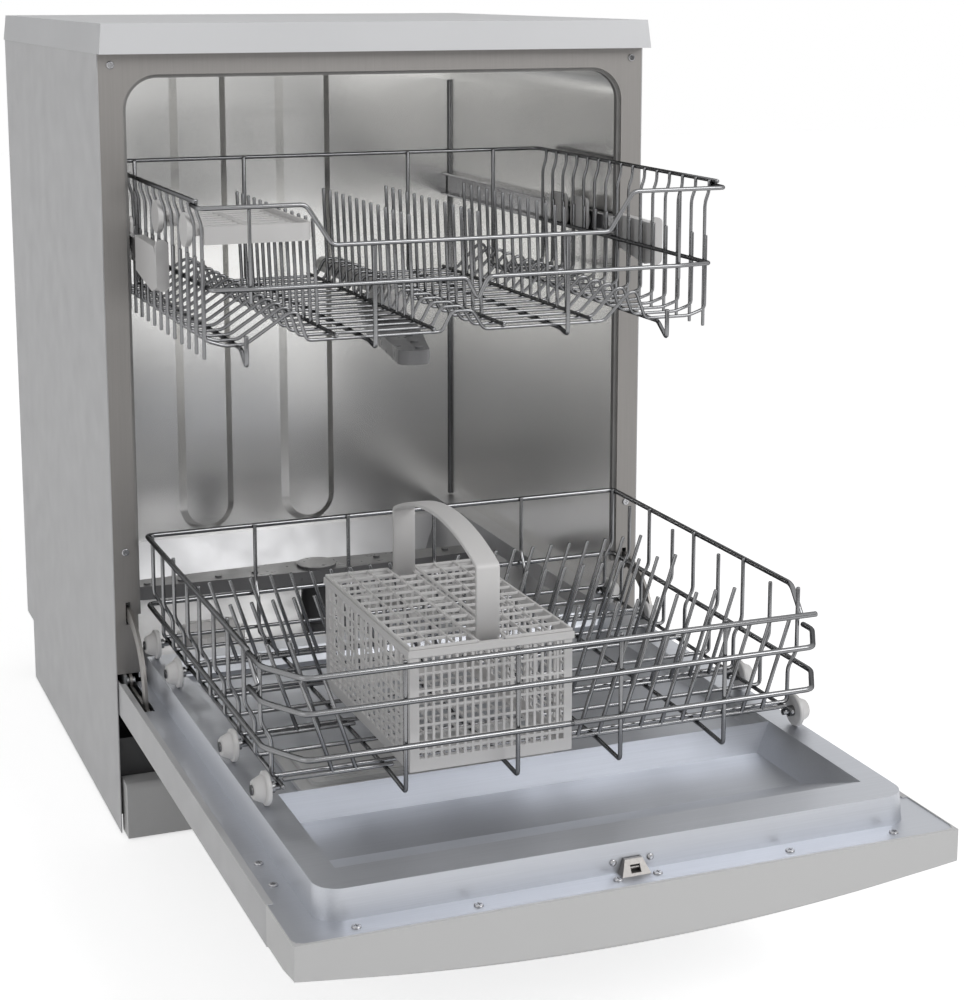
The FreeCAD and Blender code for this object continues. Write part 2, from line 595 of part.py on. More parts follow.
# Door screws: alike, through the liner's flange
put("door_screws", Part.makeCompound([screw(V(x, y, FLANGE_TOP), V(0, 0, 1), 6) for x, y in DOOR_SCREWS]))

# Console: moulded control strip across the door's end, bowed outwards, with a grip under it
CONSOLE_X = DOOR_X
CONSOLE_WALL = 3.0
bow = Part.Arc(V(CONSOLE_X, -DOOR_LENGTH, 0), V(0, FRONT, 0), V(-CONSOLE_X, -DOOR_LENGTH, 0)).toShape()
sides = [V(-CONSOLE_X, -DOOR_LENGTH, 0), V(-CONSOLE_X, CONSOLE_Y, 0), V(CONSOLE_X, CONSOLE_Y, 0),
         V(CONSOLE_X, -DOOR_LENGTH, 0)]
plan = Part.Face(Part.Wire([bow] + [Part.makeLine(a, b) for a, b in zip(sides, sides[1:])]))
plan = plan.extrude(V(0, 0, HINGE_Z))
section = [(CONSOLE_Y, 136), (-DOOR_LENGTH + 32, 136.5), (-DOOR_LENGTH - 3, 141), (FRONT - 1, 147),
           (FRONT - 1, HINGE_Z), (CONSOLE_Y, HINGE_Z)]
profile = prism(section, "x", -CONSOLE_X, CONSOLE_X)
hollow_x = CONSOLE_X - CONSOLE_WALL
hollow = box(-hollow_x, hollow_x, CONSOLE_Y, -DOOR_LENGTH + 5, 141, HINGE_Z + 1)
seat = flange_plate(FLANGE_TOP - SHEET, HINGE_Z + 1)
BUTTON_X, BUTTON_Y, BUTTON_R = -HALF + 60, -DOOR_LENGTH + 38, 9.0
GRIP_FRONT, GRIP_REAR = -DOOR_LENGTH + 10, -DOOR_LENGTH + 42
grip = box(-70, 70, GRIP_FRONT, GRIP_REAR, 130, 152)
button_hole = rod((BUTTON_X, BUTTON_Y, 130), (BUTTON_X, BUTTON_Y, 150), BUTTON_R + GAP)
grip_shell = box(-73, 73, GRIP_FRONT - 3, GRIP_REAR + 3, 137, 155)
console = plan.common(profile).cut([hollow, seat])
console = joined([console, grip_shell]).cut([grip, button_hole])
put("console", console)

# Power button: round key in the console's face
put("power_button", joined([
    rod((BUTTON_X, BUTTON_Y, 134), (BUTTON_X, BUTTON_Y, 144), BUTTON_R),
    rod((BUTTON_X, BUTTON_Y, 141.5), (BUTTON_X, BUTTON_Y, 144), BUTTON_R + 2),
]))

# Latch: pressed steel housing on the flange against the rim, with a mouth for the catch and its bar
LATCH_REAR = RIM_FRONT - DRAFT - 0.1
LATCH_TOP = FLANGE_TOP + 12
LATCH_FOOT = (-13.0, 13.0, LATCH_REAR - 10, LATCH_REAR, FLANGE_TOP)
LATCH_HEAD = (-8.0, 8.0, LATCH_REAR - 3, LATCH_REAR, LATCH_TOP)
mouth = box(-4.5, 4.5, LATCH_REAR - 12, LATCH_REAR - 1.5, FLANGE_TOP + 2, FLANGE_TOP + 8)
hook = rod((-5, LATCH_REAR - 4, FLANGE_TOP + 5), (5, LATCH_REAR - 4, FLANGE_TOP + 5), 1.2)
put("latch", joined([tapered(LATCH_FOOT, LATCH_HEAD).cut(mouth), hook]))

# Hinge arms: sickle-shaped plates that run through the frame's slots as the door turns
ARM_HALF = 1.5
ARM_R_IN, ARM_R_OUT = 66.0, 80.0
HUB_R = FRAME_LOW - HINGE_Z - 0.5


def hinge_arm(side):
    """A ring sector round the pivot, a bar inside the door and a hub with the pivot hole."""
    x0, x1 = side * (ARM_X - ARM_HALF), side * (ARM_X + ARM_HALF)
    start = min(x0, x1)
    pivot = V(start, 0, HINGE_Z)
    ring = Part.makeCylinder(ARM_R_OUT, 2 * ARM_HALF, pivot, V(1, 0, 0))
    ring = ring.cut(Part.makeCylinder(ARM_R_IN, 2 * ARM_HALF, pivot, V(1, 0, 0)))
    keep = prism([(0, HINGE_Z), (14, 300), (-200, 300), (-200, HINGE_Z - 22), (-40, HINGE_Z - 22)], "x",
                 start, start + 2 * ARM_HALF)
    bar = box(x0, x1, -140, 8, DOOR_UNDER + SHEET, HINGE_Z - PIN_R)
    hub = Part.makeCylinder(HUB_R, 2 * ARM_HALF, pivot, V(1, 0, 0))
    hole = Part.makeCylinder(PIN_R + 0.08, 2 * ARM_HALF, pivot, V(1, 0, 0))
    return joined([ring.common(keep), bar, hub]).cut(hole)


put("hinge_arms", Part.makeCompound([hinge_arm(side) for name, side in SIDES]))

# Dispenser: moulded plate on the liner's plateau with a sliding lid
DISP_X = (-215.0, 30.0)
DISP_Y = (STEP_Y + 15, STEP_Y + 125)
DISP_TOP = PLATEAU_Z + 4
dispenser = box(*DISP_X, *DISP_Y, PLATEAU_Z, DISP_TOP)
dispenser = rounded(dispenser, 14, lambda m, w: along(w, "z"))
put("dispenser_body", dispenser)
lid = box(-203, -85, DISP_Y[0] + 12, DISP_Y[1] - 12, DISP_TOP + GAP, DISP_TOP + 4)
lid = rounded(lid, 8, lambda m, w: along(w, "z"))
groove = box(-190, -98, DISP_Y[0] + 17, DISP_Y[0] + 21, DISP_TOP + 3, DISP_TOP + 5)
put("dispenser_lid", lid.cut(groove))

# Lower basket: welded wire basket of rails, cross ribs and runners
RAIL_R = 2.6
RIB_R = 2.0
WELD = 0.3
LOW_X = RIM_X - 2
LOW_REAR = -10.0
LOW_FRONT = -490.0
LOW_RIM = 327.0
LOW_SECOND = 294.0
LOW_MID = 254.0
CORNER_Y = -445.0
WHEEL_R = 15.0
WHEEL_Z = RIM_TOP + WHEEL_R + GAP
AXLE_R = 3.0
SIDE_BAR_Z = WHEEL_Z + AXLE_R + RIB_R - WELD
LOW_FLOOR = SIDE_BAR_Z + 2 * RIB_R - WELD
CORNER_X = LOW_X - 26
REACH = RAIL_R + RIB_R - WELD
UPRIGHTS = (-18.0, -111.0, -214.0, -319.0, -425.0)
RUNNERS = (-152.0, -49.0, 49.0, 152.0)


def front_bow(z, left_y, right_y):
    """A front rail that runs round both corners to points on the side walls."""
    return [(-LOW_X, left_y, z), (-LOW_X, CORNER_Y, z), (-CORNER_X, LOW_FRONT, z), (CORNER_X, LOW_FRONT, z),
            (LOW_X, CORNER_Y, z), (LOW_X, right_y, z)]


def lower_rim():
    """The top rail: across the back, along both sides, then bent down at the front."""
    half = [(0, LOW_REAR, LOW_RIM), (LOW_X, LOW_REAR, LOW_RIM), (LOW_X, -405, LOW_RIM),
            (LOW_X - 2, -428, LOW_RIM - 24)]
    return [wire(half, RAIL_R, 14), mirrored(wire(half, RAIL_R, 14))]


def lower_mid():
    """The middle rail, right round the basket, in two halves."""
    half = [(0, LOW_REAR, LOW_MID), (LOW_X, LOW_REAR, LOW_MID), (LOW_X, CORNER_Y, LOW_MID),
            (CORNER_X, LOW_FRONT, LOW_MID), (0, LOW_FRONT, LOW_MID)]
    return [wire(half, RAIL_R, 14), mirrored(wire(half, RAIL_R, 14))]


def cross_rib(y):
    """A rib that runs down one wall, across the floor and up the other wall."""
    out, low = LOW_X - REACH, LOW_X - REACH - 9
    half = [(out, LOW_RIM + 3), (out, 268), (low, 252), (low, LOW_FLOOR)]
    path = [(-x, y, z) for x, z in half] + [(x, y, z) for x, z in reversed(half)]
    return wire(path, RIB_R)


def runner(x):
    """A wire that runs down the back wall, under the ribs and up the front wall."""
    level = LOW_FLOOR - 2 * RIB_R + WELD
    back, front = LOW_REAR - REACH, LOW_FRONT + REACH
    path = [(x, back, LOW_RIM + 3), (x, back, 268), (x, back - 10, 252), (x, back - 10, level),
            (x, -440, level), (x, front, 212), (x, front, LOW_RIM + 2)]
    return wire(path, RIB_R)


top_path = front_bow(LOW_RIM - 2, -404, -445)[:4] + [(CORNER_X + 3, LOW_FRONT, LOW_RIM - 2)]
front_top = wire(top_path, RAIL_R, 14)
front_second = wire(front_bow(LOW_SECOND, -404, -427), RAIL_R, 14)
SIDE_BAR_X = LOW_X - 18
side_bars = [rod((x, -445, SIDE_BAR_Z), (x, -8, SIDE_BAR_Z), RIB_R) for x in (-SIDE_BAR_X, SIDE_BAR_X)]


def floor_bar(y):
    """A bar across the floor between two ribs, turned up at its ends."""
    end, high = LOW_X - 14, LOW_FLOOR + 14
    return wire([(-end, y, high), (-end, y, LOW_FLOOR), (end, y, LOW_FLOOR), (end, y, high)], RIB_R)


floor_bars = [floor_bar(y) for y in (-62.0, -166.0, -268.0, -373.0)]
put("lower_basket", joined(
    lower_rim() + lower_mid() + [front_top, front_second] + [cross_rib(y) for y in UPRIGHTS]
    + [runner(x) for x in RUNNERS] + side_bars + floor_bars))

# Lower tines: four rows of leaning plate holders, two of them parted by the cutlery basket
TINE_R = 1.9
TINE_STEP = 21.0
TINE_HIGH = 86.0
TINE_LEAN = 28.0
CUTLERY = (-142.0, 10.0, -468.0, -230.0)
TINE_BAR_X = LOW_X - 20
WHOLE = (-TINE_BAR_X, TINE_BAR_X)
LEFT_OF_CUTLERY = (-TINE_BAR_X, CUTLERY[0] - 4)
RIGHT_OF_CUTLERY = (CUTLERY[1] + 4, TINE_BAR_X)
TINE_ROWS = ((-121.0, WHOLE), (-203.0, WHOLE), (-330.0, LEFT_OF_CUTLERY), (-330.0, RIGHT_OF_CUTLERY),
             (-436.0, LEFT_OF_CUTLERY), (-436.0, RIGHT_OF_CUTLERY))


def tine_row(y, bar):
    """A bar across the floor with tines that lean away from the middle of the basket."""
    low, high = bar
    pieces = [rod((low, y, LOW_FLOOR), (high, y, LOW_FLOOR), RIB_R)]
    for i in range(-11, 10):
        x = 30 + i * TINE_STEP
        lean = TINE_LEAN if x > 0 else -TINE_LEAN
        if low + 10 < x < high - 20:
            pieces.append(rod((x, y, LOW_FLOOR), (x + lean, y, LOW_FLOOR + TINE_HIGH), TINE_R))
    return joined(pieces)


put("lower_tines", Part.makeCompound([tine_row(y, bar) for y, bar in TINE_ROWS]))

# Wheel axles and wheels: eight plain wheels with a conical hub, in pairs on the basket's sides
WHEEL_Y = (-12.0, -108.0, -321.0, -429.0)
DISC_IN, DISC_OUT, HUB_OUT = LOW_X - 9, LOW_X - 4, LOW_X + 5
AXLE_IN = LOW_X - 20


def axle(side, y):
    """A pin with a collar inside the wheel and a flat head outside it."""
    pin = rod((side * AXLE_IN, y, WHEEL_Z), (side * HUB_OUT, y, WHEEL_Z), AXLE_R)
    collar = rod((side * (DISC_IN - 5), y, WHEEL_Z), (side * (DISC_IN - GAP), y, WHEEL_Z), AXLE_R + 2)
    head = rod((side * (HUB_OUT + GAP), y, WHEEL_Z), (side * (HUB_OUT + 1.5), y, WHEEL_Z), AXLE_R + 1.5)
    tip = rod((side * (HUB_OUT - 1), y, WHEEL_Z), (side * (HUB_OUT + 1), y, WHEEL_Z), AXLE_R)
    return joined([pin, collar, tip, head])


def wheel(side, y):
    """A disc that rolls on the rim, with a cone to the outside and a bore for the axle."""
    outline = [(DISC_IN, 0), (DISC_IN, WHEEL_R - 1), (DISC_IN + 1, WHEEL_R), (DISC_OUT - 1, WHEEL_R),
               (DISC_OUT, WHEEL_R - 1.5), (DISC_OUT, 12.5), (HUB_OUT - 1, 9), (HUB_OUT, 8), (HUB_OUT, 0)]
    ring = [V(side * x, y, WHEEL_Z + r) for x, r in outline]
    face = Part.Face(Part.makePolygon(ring + ring[:1]))
    body = face.revolve(V(0, y, WHEEL_Z), V(1, 0, 0), 360)
    return body.cut(rod((side * AXLE_IN, y, WHEEL_Z), (side * HALF, y, WHEEL_Z), AXLE_R + 0.08))


put("wheel_axles", Part.makeCompound([axle(side, y) for name, side in SIDES for y in WHEEL_Y]))
for side_name, side in SIDES:
    for number, wheel_y in enumerate(WHEEL_Y, 1):
        put(f"wheel_{side_name}_{number}", wheel(side, wheel_y))

# Cutlery basket: moulded grid floor and walls, and a middle bar with an arched handle
CUT_LOW = LOW_FLOOR + RIB_R + GAP
CUT_TOP = 330.0
CUT_WALL = 2.0
GRID_BAR = 3.0
EDGE = 8.0
cut_x0, cut_x1, cut_y0, cut_y1 = CUTLERY
CUT_MID = (cut_x0 + cut_x1) / 2
HANDLE_HALF = 11.0
HANDLE_THICK = 4.0
ARCH_LOW, ARCH_TOP = 392.0, 414.0
in_y0, in_y1, in_z = cut_y0 + CUT_WALL, cut_y1 - CUT_WALL, CUT_LOW + CUT_WALL
grid_x = spans(cut_x0 + EDGE, cut_x1 - EDGE, 8, GRID_BAR)
grid_y = spans(cut_y0 + EDGE, cut_y1 - EDGE, 12, GRID_BAR)
grid_z = spans(CUT_LOW + 2 * EDGE, CUT_TOP - EDGE, 4, GRID_BAR)
floor_y = spans(cut_y0 + EDGE, cut_y1 - EDGE, 6, GRID_BAR)
cut_floor = box(cut_x0, cut_x1, cut_y0, cut_y1, CUT_LOW, in_z)
cut_walls = [cut_floor.cut(windows(grid_x, floor_y, "z", CUT_LOW - 1, in_z + 1))]
for wall_y in (cut_y0, in_y1):
    sheet = box(cut_x0, cut_x1, wall_y, wall_y + CUT_WALL, in_z, CUT_TOP)
    cut_walls.append(sheet.cut(windows(grid_x, grid_z, "y", wall_y - 1, wall_y + CUT_WALL + 1)))
for wall_x in (cut_x0, cut_x1 - CUT_WALL):
    sheet = box(wall_x, wall_x + CUT_WALL, in_y0, in_y1, in_z, CUT_TOP)
    cut_walls.append(sheet.cut(windows(grid_y, grid_z, "x", wall_x - 1, wall_x + CUT_WALL + 1)))


def arch(grow):
    """The handle's outline in the Y-Z plane: two legs and a bowed top, grown outwards."""
    y0, y1 = cut_y0 + 13 - grow, cut_y1 - 13 + grow
    low, high = ARCH_LOW + grow, ARCH_TOP + grow
    bow = Part.Arc(V(0, y0, low), V(0, (y0 + y1) / 2, high), V(0, y1, low)).toShape()
    legs = [V(0, y1, low), V(0, y1, CUT_TOP - 4), V(0, y0, CUT_TOP - 4), V(0, y0, low)]
    return Part.Face(Part.Wire([bow] + [Part.makeLine(a, b) for a, b in zip(legs, legs[1:])]))


handle = arch(HANDLE_THICK).extrude(V(2 * HANDLE_HALF, 0, 0)).cut(
    arch(0).extrude(V(2 * HANDLE_HALF, 0, 0)))
handle.translate(V(CUT_MID - HANDLE_HALF, 0, 0))
middle = box(CUT_MID - HANDLE_HALF, CUT_MID + HANDLE_HALF, in_y0, in_y1, CUT_TOP - 4, CUT_TOP)
put("cutlery_basket", Part.makeCompound(cut_walls + [joined([middle, handle])]))

# Cutlery lids: two grids hinged beside the middle bar
LID_THICK = 2.5


def cutlery_lid(side):
    """One grid flap from the middle bar to the basket's edge. Its round inner edge is its hinge."""
    inner, outer = HANDLE_HALF + 1, (cut_x1 - cut_x0) / 2
    low = CUT_TOP + GAP
    hinge_x, hinge_z = CUT_MID + side * (inner + LID_THICK / 2), low + LID_THICK / 2
    flap = box(hinge_x, CUT_MID + side * outer, cut_y0, cut_y1, low, low + LID_THICK)
    flap = flap.fuse(rod((hinge_x, cut_y0, hinge_z), (hinge_x, cut_y1, hinge_z), LID_THICK / 2))
    across = [(CUT_MID + side * a, CUT_MID + side * b) for a, b in spans(inner + 4, outer - 5, 4, GRID_BAR)]
    return flap.cut(windows(across, spans(cut_y0 + 5, cut_y1 - 5, 13, GRID_BAR), "z", CUT_TOP, CUT_TOP + 5))


for side_name, side in SIDES:
    put("cutlery_lid_" + side_name, cutlery_lid(side))

# Upper basket: welded wire basket with wave-shaped ribs and a low front
UP_X = TUB_X - 19
UP_RIM_X = UP_X + 8
UP_RIM = 696.0
UP_MID = 616.0
UP_FLOOR = 562.0
UP_CREST = 589.0
UP_REAR = 205.0
UP_FRONT = -260.0
UP_DIP = 653.0
UP_RIB_Y = tuple(-238.0 + 29.0 * i for i in range(15))
UP_RAIL_R = 2.2
UP_RIB_R = 1.7
UP_REACH = UP_RAIL_R + UP_RIB_R - WELD


def upper_rim():
    """The top rail: across the back and along the sides to the front corners."""
    half = [(0, UP_REAR, UP_RIM), (UP_RIM_X, UP_REAR, UP_RIM), (UP_RIM_X, UP_FRONT + 14, UP_RIM)]
    return [wire(half, UP_RAIL_R, 14), mirrored(wire(half, UP_RAIL_R, 14))]


def upper_front():
    """The front rail, which dips in the middle, and the lower rail with a small notch."""
    dip = [(UP_RIM_X, UP_FRONT + 30, UP_RIM - 4), (UP_RIM_X, UP_FRONT, UP_RIM - 5),
           (165, UP_FRONT, UP_RIM - 5), (140, UP_FRONT, UP_DIP)]
    path = [(-x, y, z) for x, y, z in dip] + [(x, y, z) for x, y, z in reversed(dip)]
    side_x, end_x = UP_X - UP_REACH, UP_X - 41
    level = [(-side_x, UP_REAR - 30, UP_MID), (-side_x, UP_FRONT + 6, UP_MID), (-end_x, UP_FRONT, UP_MID),
             (-8, UP_FRONT, UP_MID), (3, UP_FRONT, UP_MID - 21), (14, UP_FRONT, UP_MID),
             (end_x, UP_FRONT, UP_MID), (side_x, UP_FRONT + 6, UP_MID), (side_x, UP_REAR - 30, UP_MID)]
    return [wire(path, UP_RAIL_R, 8), wire(level, UP_RAIL_R)]


def wave_rib(y):
    """A rib with a short leg on each wall, and waves across the floor that hold cups."""
    wall = [(UP_X, UP_MID + 26), (UP_X, UP_FLOOR + 6)]
    foot_x = UP_X - 18
    floor = [(-foot_x, UP_FLOOR), (20 - foot_x, UP_FLOOR), (-176, UP_CREST), (-168, UP_CREST),
             (-159, UP_FLOOR), (-25, UP_FLOOR), (-15, UP_CREST - 8), (6, UP_CREST - 8),
             (18, UP_FLOOR), (145, UP_FLOOR), (172, UP_CREST), (180, UP_CREST), (190, UP_FLOOR),
             (foot_x, UP_FLOOR)]
    path = [(-x, z) for x, z in wall] + floor + wall[::-1]
    return wire([(x, y, z) for x, z in path], UP_RIB_R)


def hanger(side, y):
    """A wire on a side wall beside a rib, from the rim by a jog inwards to below the floor."""
    top_x = UP_RIM_X - UP_REACH
    path = [(top_x, UP_RIM + 1), (top_x, UP_RIM - 10), (UP_X, UP_RIM - 22), (UP_X, UP_FLOOR - 12)]
    return wire([(side * x, y, z) for x, z in path], UP_RIB_R)


UP_FRONT_IN = UP_FRONT + UP_REACH
UP_LEVEL = UP_FLOOR - UP_RIB_R - UP_RAIL_R + WELD


def upper_runner(x, front_levels):
    """A wire down the back wall and under the floor, then bent through levels at the front wall."""
    back = UP_REAR - UP_REACH
    path = [(x, back, UP_RIM + 1), (x, back, UP_LEVEL), (x, -236, UP_LEVEL)]
    return wire(path + [(x, UP_FRONT_IN, z) for z in front_levels], UP_RAIL_R)


long_runners = [upper_runner(x, (UP_LEVEL - 4, UP_DIP + 3)) for x in (-98.0, 98.0)]
hooked_runners = [upper_runner(x, (UP_FLOOR - 18, UP_FLOOR + 11)) for x in (34 - UP_X, UP_X - 51)]
up_post_low, up_post_high = UP_MID - 14, UP_RIM - 4
front_posts = [rod((x, UP_FRONT_IN, up_post_low), (x, UP_FRONT_IN, up_post_high), UP_RIB_R)
               for x in (39 - UP_X, UP_X - 39)]
HANGER_STEP = 2 * UP_RIB_R - WELD
hangers = [hanger(side, y + HANGER_STEP) for side in (-1, 1) for y in UP_RIB_Y]
put("upper_basket", joined(
    upper_rim() + upper_front() + [wave_rib(y) for y in UP_RIB_Y] + long_runners + hooked_runners
    + front_posts + hangers))

# Upper tines: four rows of upright cup and saucer holders
UP_TINE_HIGH = 104.0
UP_TINE_STEP = 23.0
UP_TINE_X = (-131.0, -34.0, 38.0, 130.0)
UP_TINE_R = 1.6
UP_BAR_R = 1.9
up_tine_z = UP_FLOOR + UP_RIB_R + UP_BAR_R - WELD


def upper_tine_row(x):
    """A bar along the floor with a row of upright tines."""
    pieces = [rod((x, -242, up_tine_z), (x, 172, up_tine_z), UP_BAR_R)]
    for i in range(13):
        y = -182.0 + i * UP_TINE_STEP
        pieces.append(rod((x, y, up_tine_z), (x - 4, y, up_tine_z + UP_TINE_HIGH), UP_TINE_R))
    return joined(pieces)


put("upper_tines", Part.makeCompound([upper_tine_row(x) for x in UP_TINE_X]))

# Rollers and their carriers: two on each side of the upper basket, running in the rails
ROLLER_R = (RAIL_HIGH - RAIL_LOW) / 2 - RAIL_SHEET - GAP
ROLLER_Z = (RAIL_HIGH + RAIL_LOW) / 2
ROLLER_Y = (72.0, 130.0)
ROLLER_IN, ROLLER_OUT = TUB_X - 12, TUB_X - 7
ROLLER_PIN = 2.5


def carrier(side, y):
    """A moulded block clipped on two ribs, with the roller's pin."""
    face = UP_X + UP_RIB_R - WELD
    block = box(side * face, side * (face + 3), y - 22, y + 22, ROLLER_Z - 10, ROLLER_Z + 26)
    block = rounded(block, 6, lambda m, w: along(w, "x"))
    pin = rod((side * (face + 1), y, ROLLER_Z), (side * ROLLER_OUT, y, ROLLER_Z), ROLLER_PIN)
    collar = rod((side * (face + 1), y, ROLLER_Z), (side * (ROLLER_IN - GAP), y, ROLLER_Z), ROLLER_PIN + 2)
    return joined([block, pin, collar])


put("roller_carriers", Part.makeCompound([carrier(side, y) for name, side in SIDES for y in ROLLER_Y]))
for side_name, side in SIDES:
    for number, roller_y in enumerate(ROLLER_Y, 1):
        disc = rod((side * ROLLER_IN, roller_y, ROLLER_Z), (side * ROLLER_OUT, roller_y, ROLLER_Z), ROLLER_R)
        disc = disc.makeChamfer(0.8, [e for e in disc.Edges if e.Closed])
        hole = rod((side * UP_X, roller_y, ROLLER_Z), (side * TUB_X, roller_y, ROLLER_Z), ROLLER_PIN + 0.08)
        put(f"roller_{side_name}_{number}", disc.cut(hole))

# Cup shelf and its clips: slatted flap on the left wall, held by two round ears
SHELF_X0, SHELF_X1 = 10 - UP_X, 115 - UP_X
SHELF_Y0, SHELF_Y1 = -205.0, -40.0
SHELF_LOW, SHELF_TOP = 651.0, 668.0
DECK_LOW, DECK_TOP = 660.0, 664.0
SHELF_LIP = 3.0
SHELF_ROUND = 12.0
PIVOT_X, PIVOT_Z = 7 - UP_X, 664.0
CLIP_Y = (-191.4, -75.4)
CLIP_HALF = 6.0


def shelf_block(inset, low, high):
    """The shelf's plan with round inner corners, made smaller by an inset, between two levels."""
    block = box(SHELF_X0, SHELF_X1 - inset, SHELF_Y0 + inset, SHELF_Y1 - inset, low, high)
    return rounded(block, SHELF_ROUND - inset, lambda m, w: along(w, "z") and m.x > SHELF_X0 + 50)


lip = shelf_block(0, SHELF_LOW, SHELF_TOP).cut(shelf_block(SHELF_LIP, SHELF_LOW - 1, SHELF_TOP + 1))
slots_x = spans(SHELF_X0 + 8, SHELF_X1 - 10, 2, 8)
slots_y = spans(SHELF_Y0 + 12, SHELF_Y1 - 12, 8, 7)
deck = shelf_block(SHELF_LIP / 2, DECK_LOW, DECK_TOP).cut(
    windows(slots_x, slots_y, "z", DECK_LOW - 1, DECK_TOP + 1))
shelf = joined([lip, deck])
shaft = rod((PIVOT_X, SHELF_Y0 + 10, PIVOT_Z), (PIVOT_X, SHELF_Y1 - 20, PIVOT_Z), 3.5)
ear_half = CLIP_HALF + GAP
ears_gap = [box(PIVOT_X - 17, PIVOT_X + 7, y - ear_half, y + ear_half, 640, 690) for y in CLIP_Y]
bridge = box(PIVOT_X - 1, SHELF_X0 + 1, SHELF_Y0 + 10, SHELF_Y1 - 20, PIVOT_Z - 3, PIVOT_Z + 3)
pivot_pin = rod((PIVOT_X, SHELF_Y0 + 10, PIVOT_Z), (PIVOT_X, SHELF_Y1 - 20, PIVOT_Z), 2.0)
put("cup_shelf", joined([joined([shelf, shaft, bridge]).cut(ears_gap), pivot_pin]))


def shelf_clip(y):
    """A round ear on two wires of the wall, with an arm between them to the shelf's pivot."""
    face = -UP_X - UP_RIB_R + WELD
    ear = rod((face - 5, y, PIVOT_Z + 1), (face, y, PIVOT_Z + 1), 16)
    arm = box(face - 1, PIVOT_X, y - CLIP_HALF, y + CLIP_HALF, PIVOT_Z - 5, PIVOT_Z + 5)
    eye = rod((PIVOT_X, y - CLIP_HALF, PIVOT_Z), (PIVOT_X, y + CLIP_HALF, PIVOT_Z), 5)
    return joined([ear, arm, eye]).cut(rod((PIVOT_X, y - 10, PIVOT_Z), (PIVOT_X, y + 10, PIVOT_Z), 2.08))


put("shelf_clips", Part.makeCompound([shelf_clip(y) for y in CLIP_Y]))

# Upper spray arm and feed pipe: pipe under the upper basket's floor with the arm hung on it
PIPE_Y, PIPE_REAR = -30.0, 205.0
PIPE_X = -5.0
PIPE_R = 9.0
PIPE_Z = UP_CREST - 8 - UP_RIB_R - PIPE_R
ARM_TOP = 541.0
pipe = joined([
    rod((PIPE_X, PIPE_Y - 10, PIPE_Z), (PIPE_X, PIPE_REAR, PIPE_Z), PIPE_R),
    rod((PIPE_X, PIPE_Y, ARM_TOP + 4), (PIPE_X, PIPE_Y, PIPE_Z), 15),
    rod((PIPE_X, PIPE_Y, ARM_TOP - 12), (PIPE_X, PIPE_Y, ARM_TOP + 4), SPIGOT_R),
])
put("upper_feed_pipe", pipe)
UPPER_BORE = (SPIGOT_R + 0.1, ARM_TOP + 4)
upper_arm = spray_arm((PIPE_X, PIPE_Y), UP_X - 66, ARM_TOP - 14, ARM_TOP, 20, UPPER_BORE, 78)
put("upper_spray_arm", upper_arm)
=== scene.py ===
"""An open dishwasher on a white studio floor: finishes, wires, plastic grids, light and camera."""
import math

import bpy
import numpy as np
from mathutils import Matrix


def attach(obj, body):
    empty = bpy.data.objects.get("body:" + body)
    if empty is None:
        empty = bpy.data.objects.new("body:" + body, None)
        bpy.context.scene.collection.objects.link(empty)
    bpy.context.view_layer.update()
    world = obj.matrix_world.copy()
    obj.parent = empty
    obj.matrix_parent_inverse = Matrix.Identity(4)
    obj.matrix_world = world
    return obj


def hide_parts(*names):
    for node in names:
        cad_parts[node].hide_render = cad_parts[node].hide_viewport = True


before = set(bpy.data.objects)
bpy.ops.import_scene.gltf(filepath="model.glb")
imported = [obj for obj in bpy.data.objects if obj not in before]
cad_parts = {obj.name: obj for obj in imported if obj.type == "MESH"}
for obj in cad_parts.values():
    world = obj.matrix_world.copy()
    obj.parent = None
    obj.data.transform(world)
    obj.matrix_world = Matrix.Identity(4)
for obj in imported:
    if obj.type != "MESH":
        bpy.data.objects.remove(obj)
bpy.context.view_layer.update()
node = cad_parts

# Worktop: white laminated board, 30 mm thick, screwed on from below.
# Its decor paper is smooth to the hand, with a fine pressed grain.


def surface_pattern():
    """A node group: noise over Object coordinates, each axis times its own number of waves a metre."""
    group = bpy.data.node_groups.new("Surface pattern", "ShaderNodeTree")
    group.interface.new_socket("Waves", in_out="INPUT", socket_type="NodeSocketVector")
    group.interface.new_socket("Detail", in_out="INPUT", socket_type="NodeSocketFloat")
    group.interface.new_socket("Pattern", in_out="OUTPUT", socket_type="NodeSocketFloat")
    start = group.nodes.new("NodeGroupInput")
    place = group.nodes.new("ShaderNodeTexCoord")
    stretch = group.nodes.new("ShaderNodeVectorMath")
    stretch.operation = "MULTIPLY"
    noise = group.nodes.new("ShaderNodeTexNoise")
    noise.inputs["Scale"].default_value = 1.0
    end = group.nodes.new("NodeGroupOutput")
    group.links.new(place.outputs["Object"], stretch.inputs[0])
    group.links.new(start.outputs["Waves"], stretch.inputs[1])
    group.links.new(stretch.outputs["Vector"], noise.inputs["Vector"])
    group.links.new(start.outputs["Detail"], noise.inputs["Detail"])
    group.links.new(noise.outputs["Fac"], end.inputs["Pattern"])
    return group


PATTERN = surface_pattern()
PATTERN_DETAIL = 3.0
PATTERN_MIDDLE = (0.3, 0.7)


def pattern(tree, waves, detail=PATTERN_DETAIL):
    """Places the pattern group in a material. Waves is one number, or one for each axis."""
    placed = tree.nodes.new("ShaderNodeGroup")
    placed.node_tree = PATTERN
    placed.inputs["Waves"].default_value = (waves,) * 3 if isinstance(waves, float) else waves
    placed.inputs["Detail"].default_value = detail
    return placed.outputs["Pattern"]


def spread(tree, value, low, high):
    """Maps the middle of a pattern to a range."""
    mapped = tree.nodes.new("ShaderNodeMapRange")
    mapped.inputs["From Min"].default_value, mapped.inputs["From Max"].default_value = PATTERN_MIDDLE
    mapped.inputs["To Min"].default_value = low
    mapped.inputs["To Max"].default_value = high
    tree.links.new(value, mapped.inputs["Value"])
    return mapped.outputs["Result"]


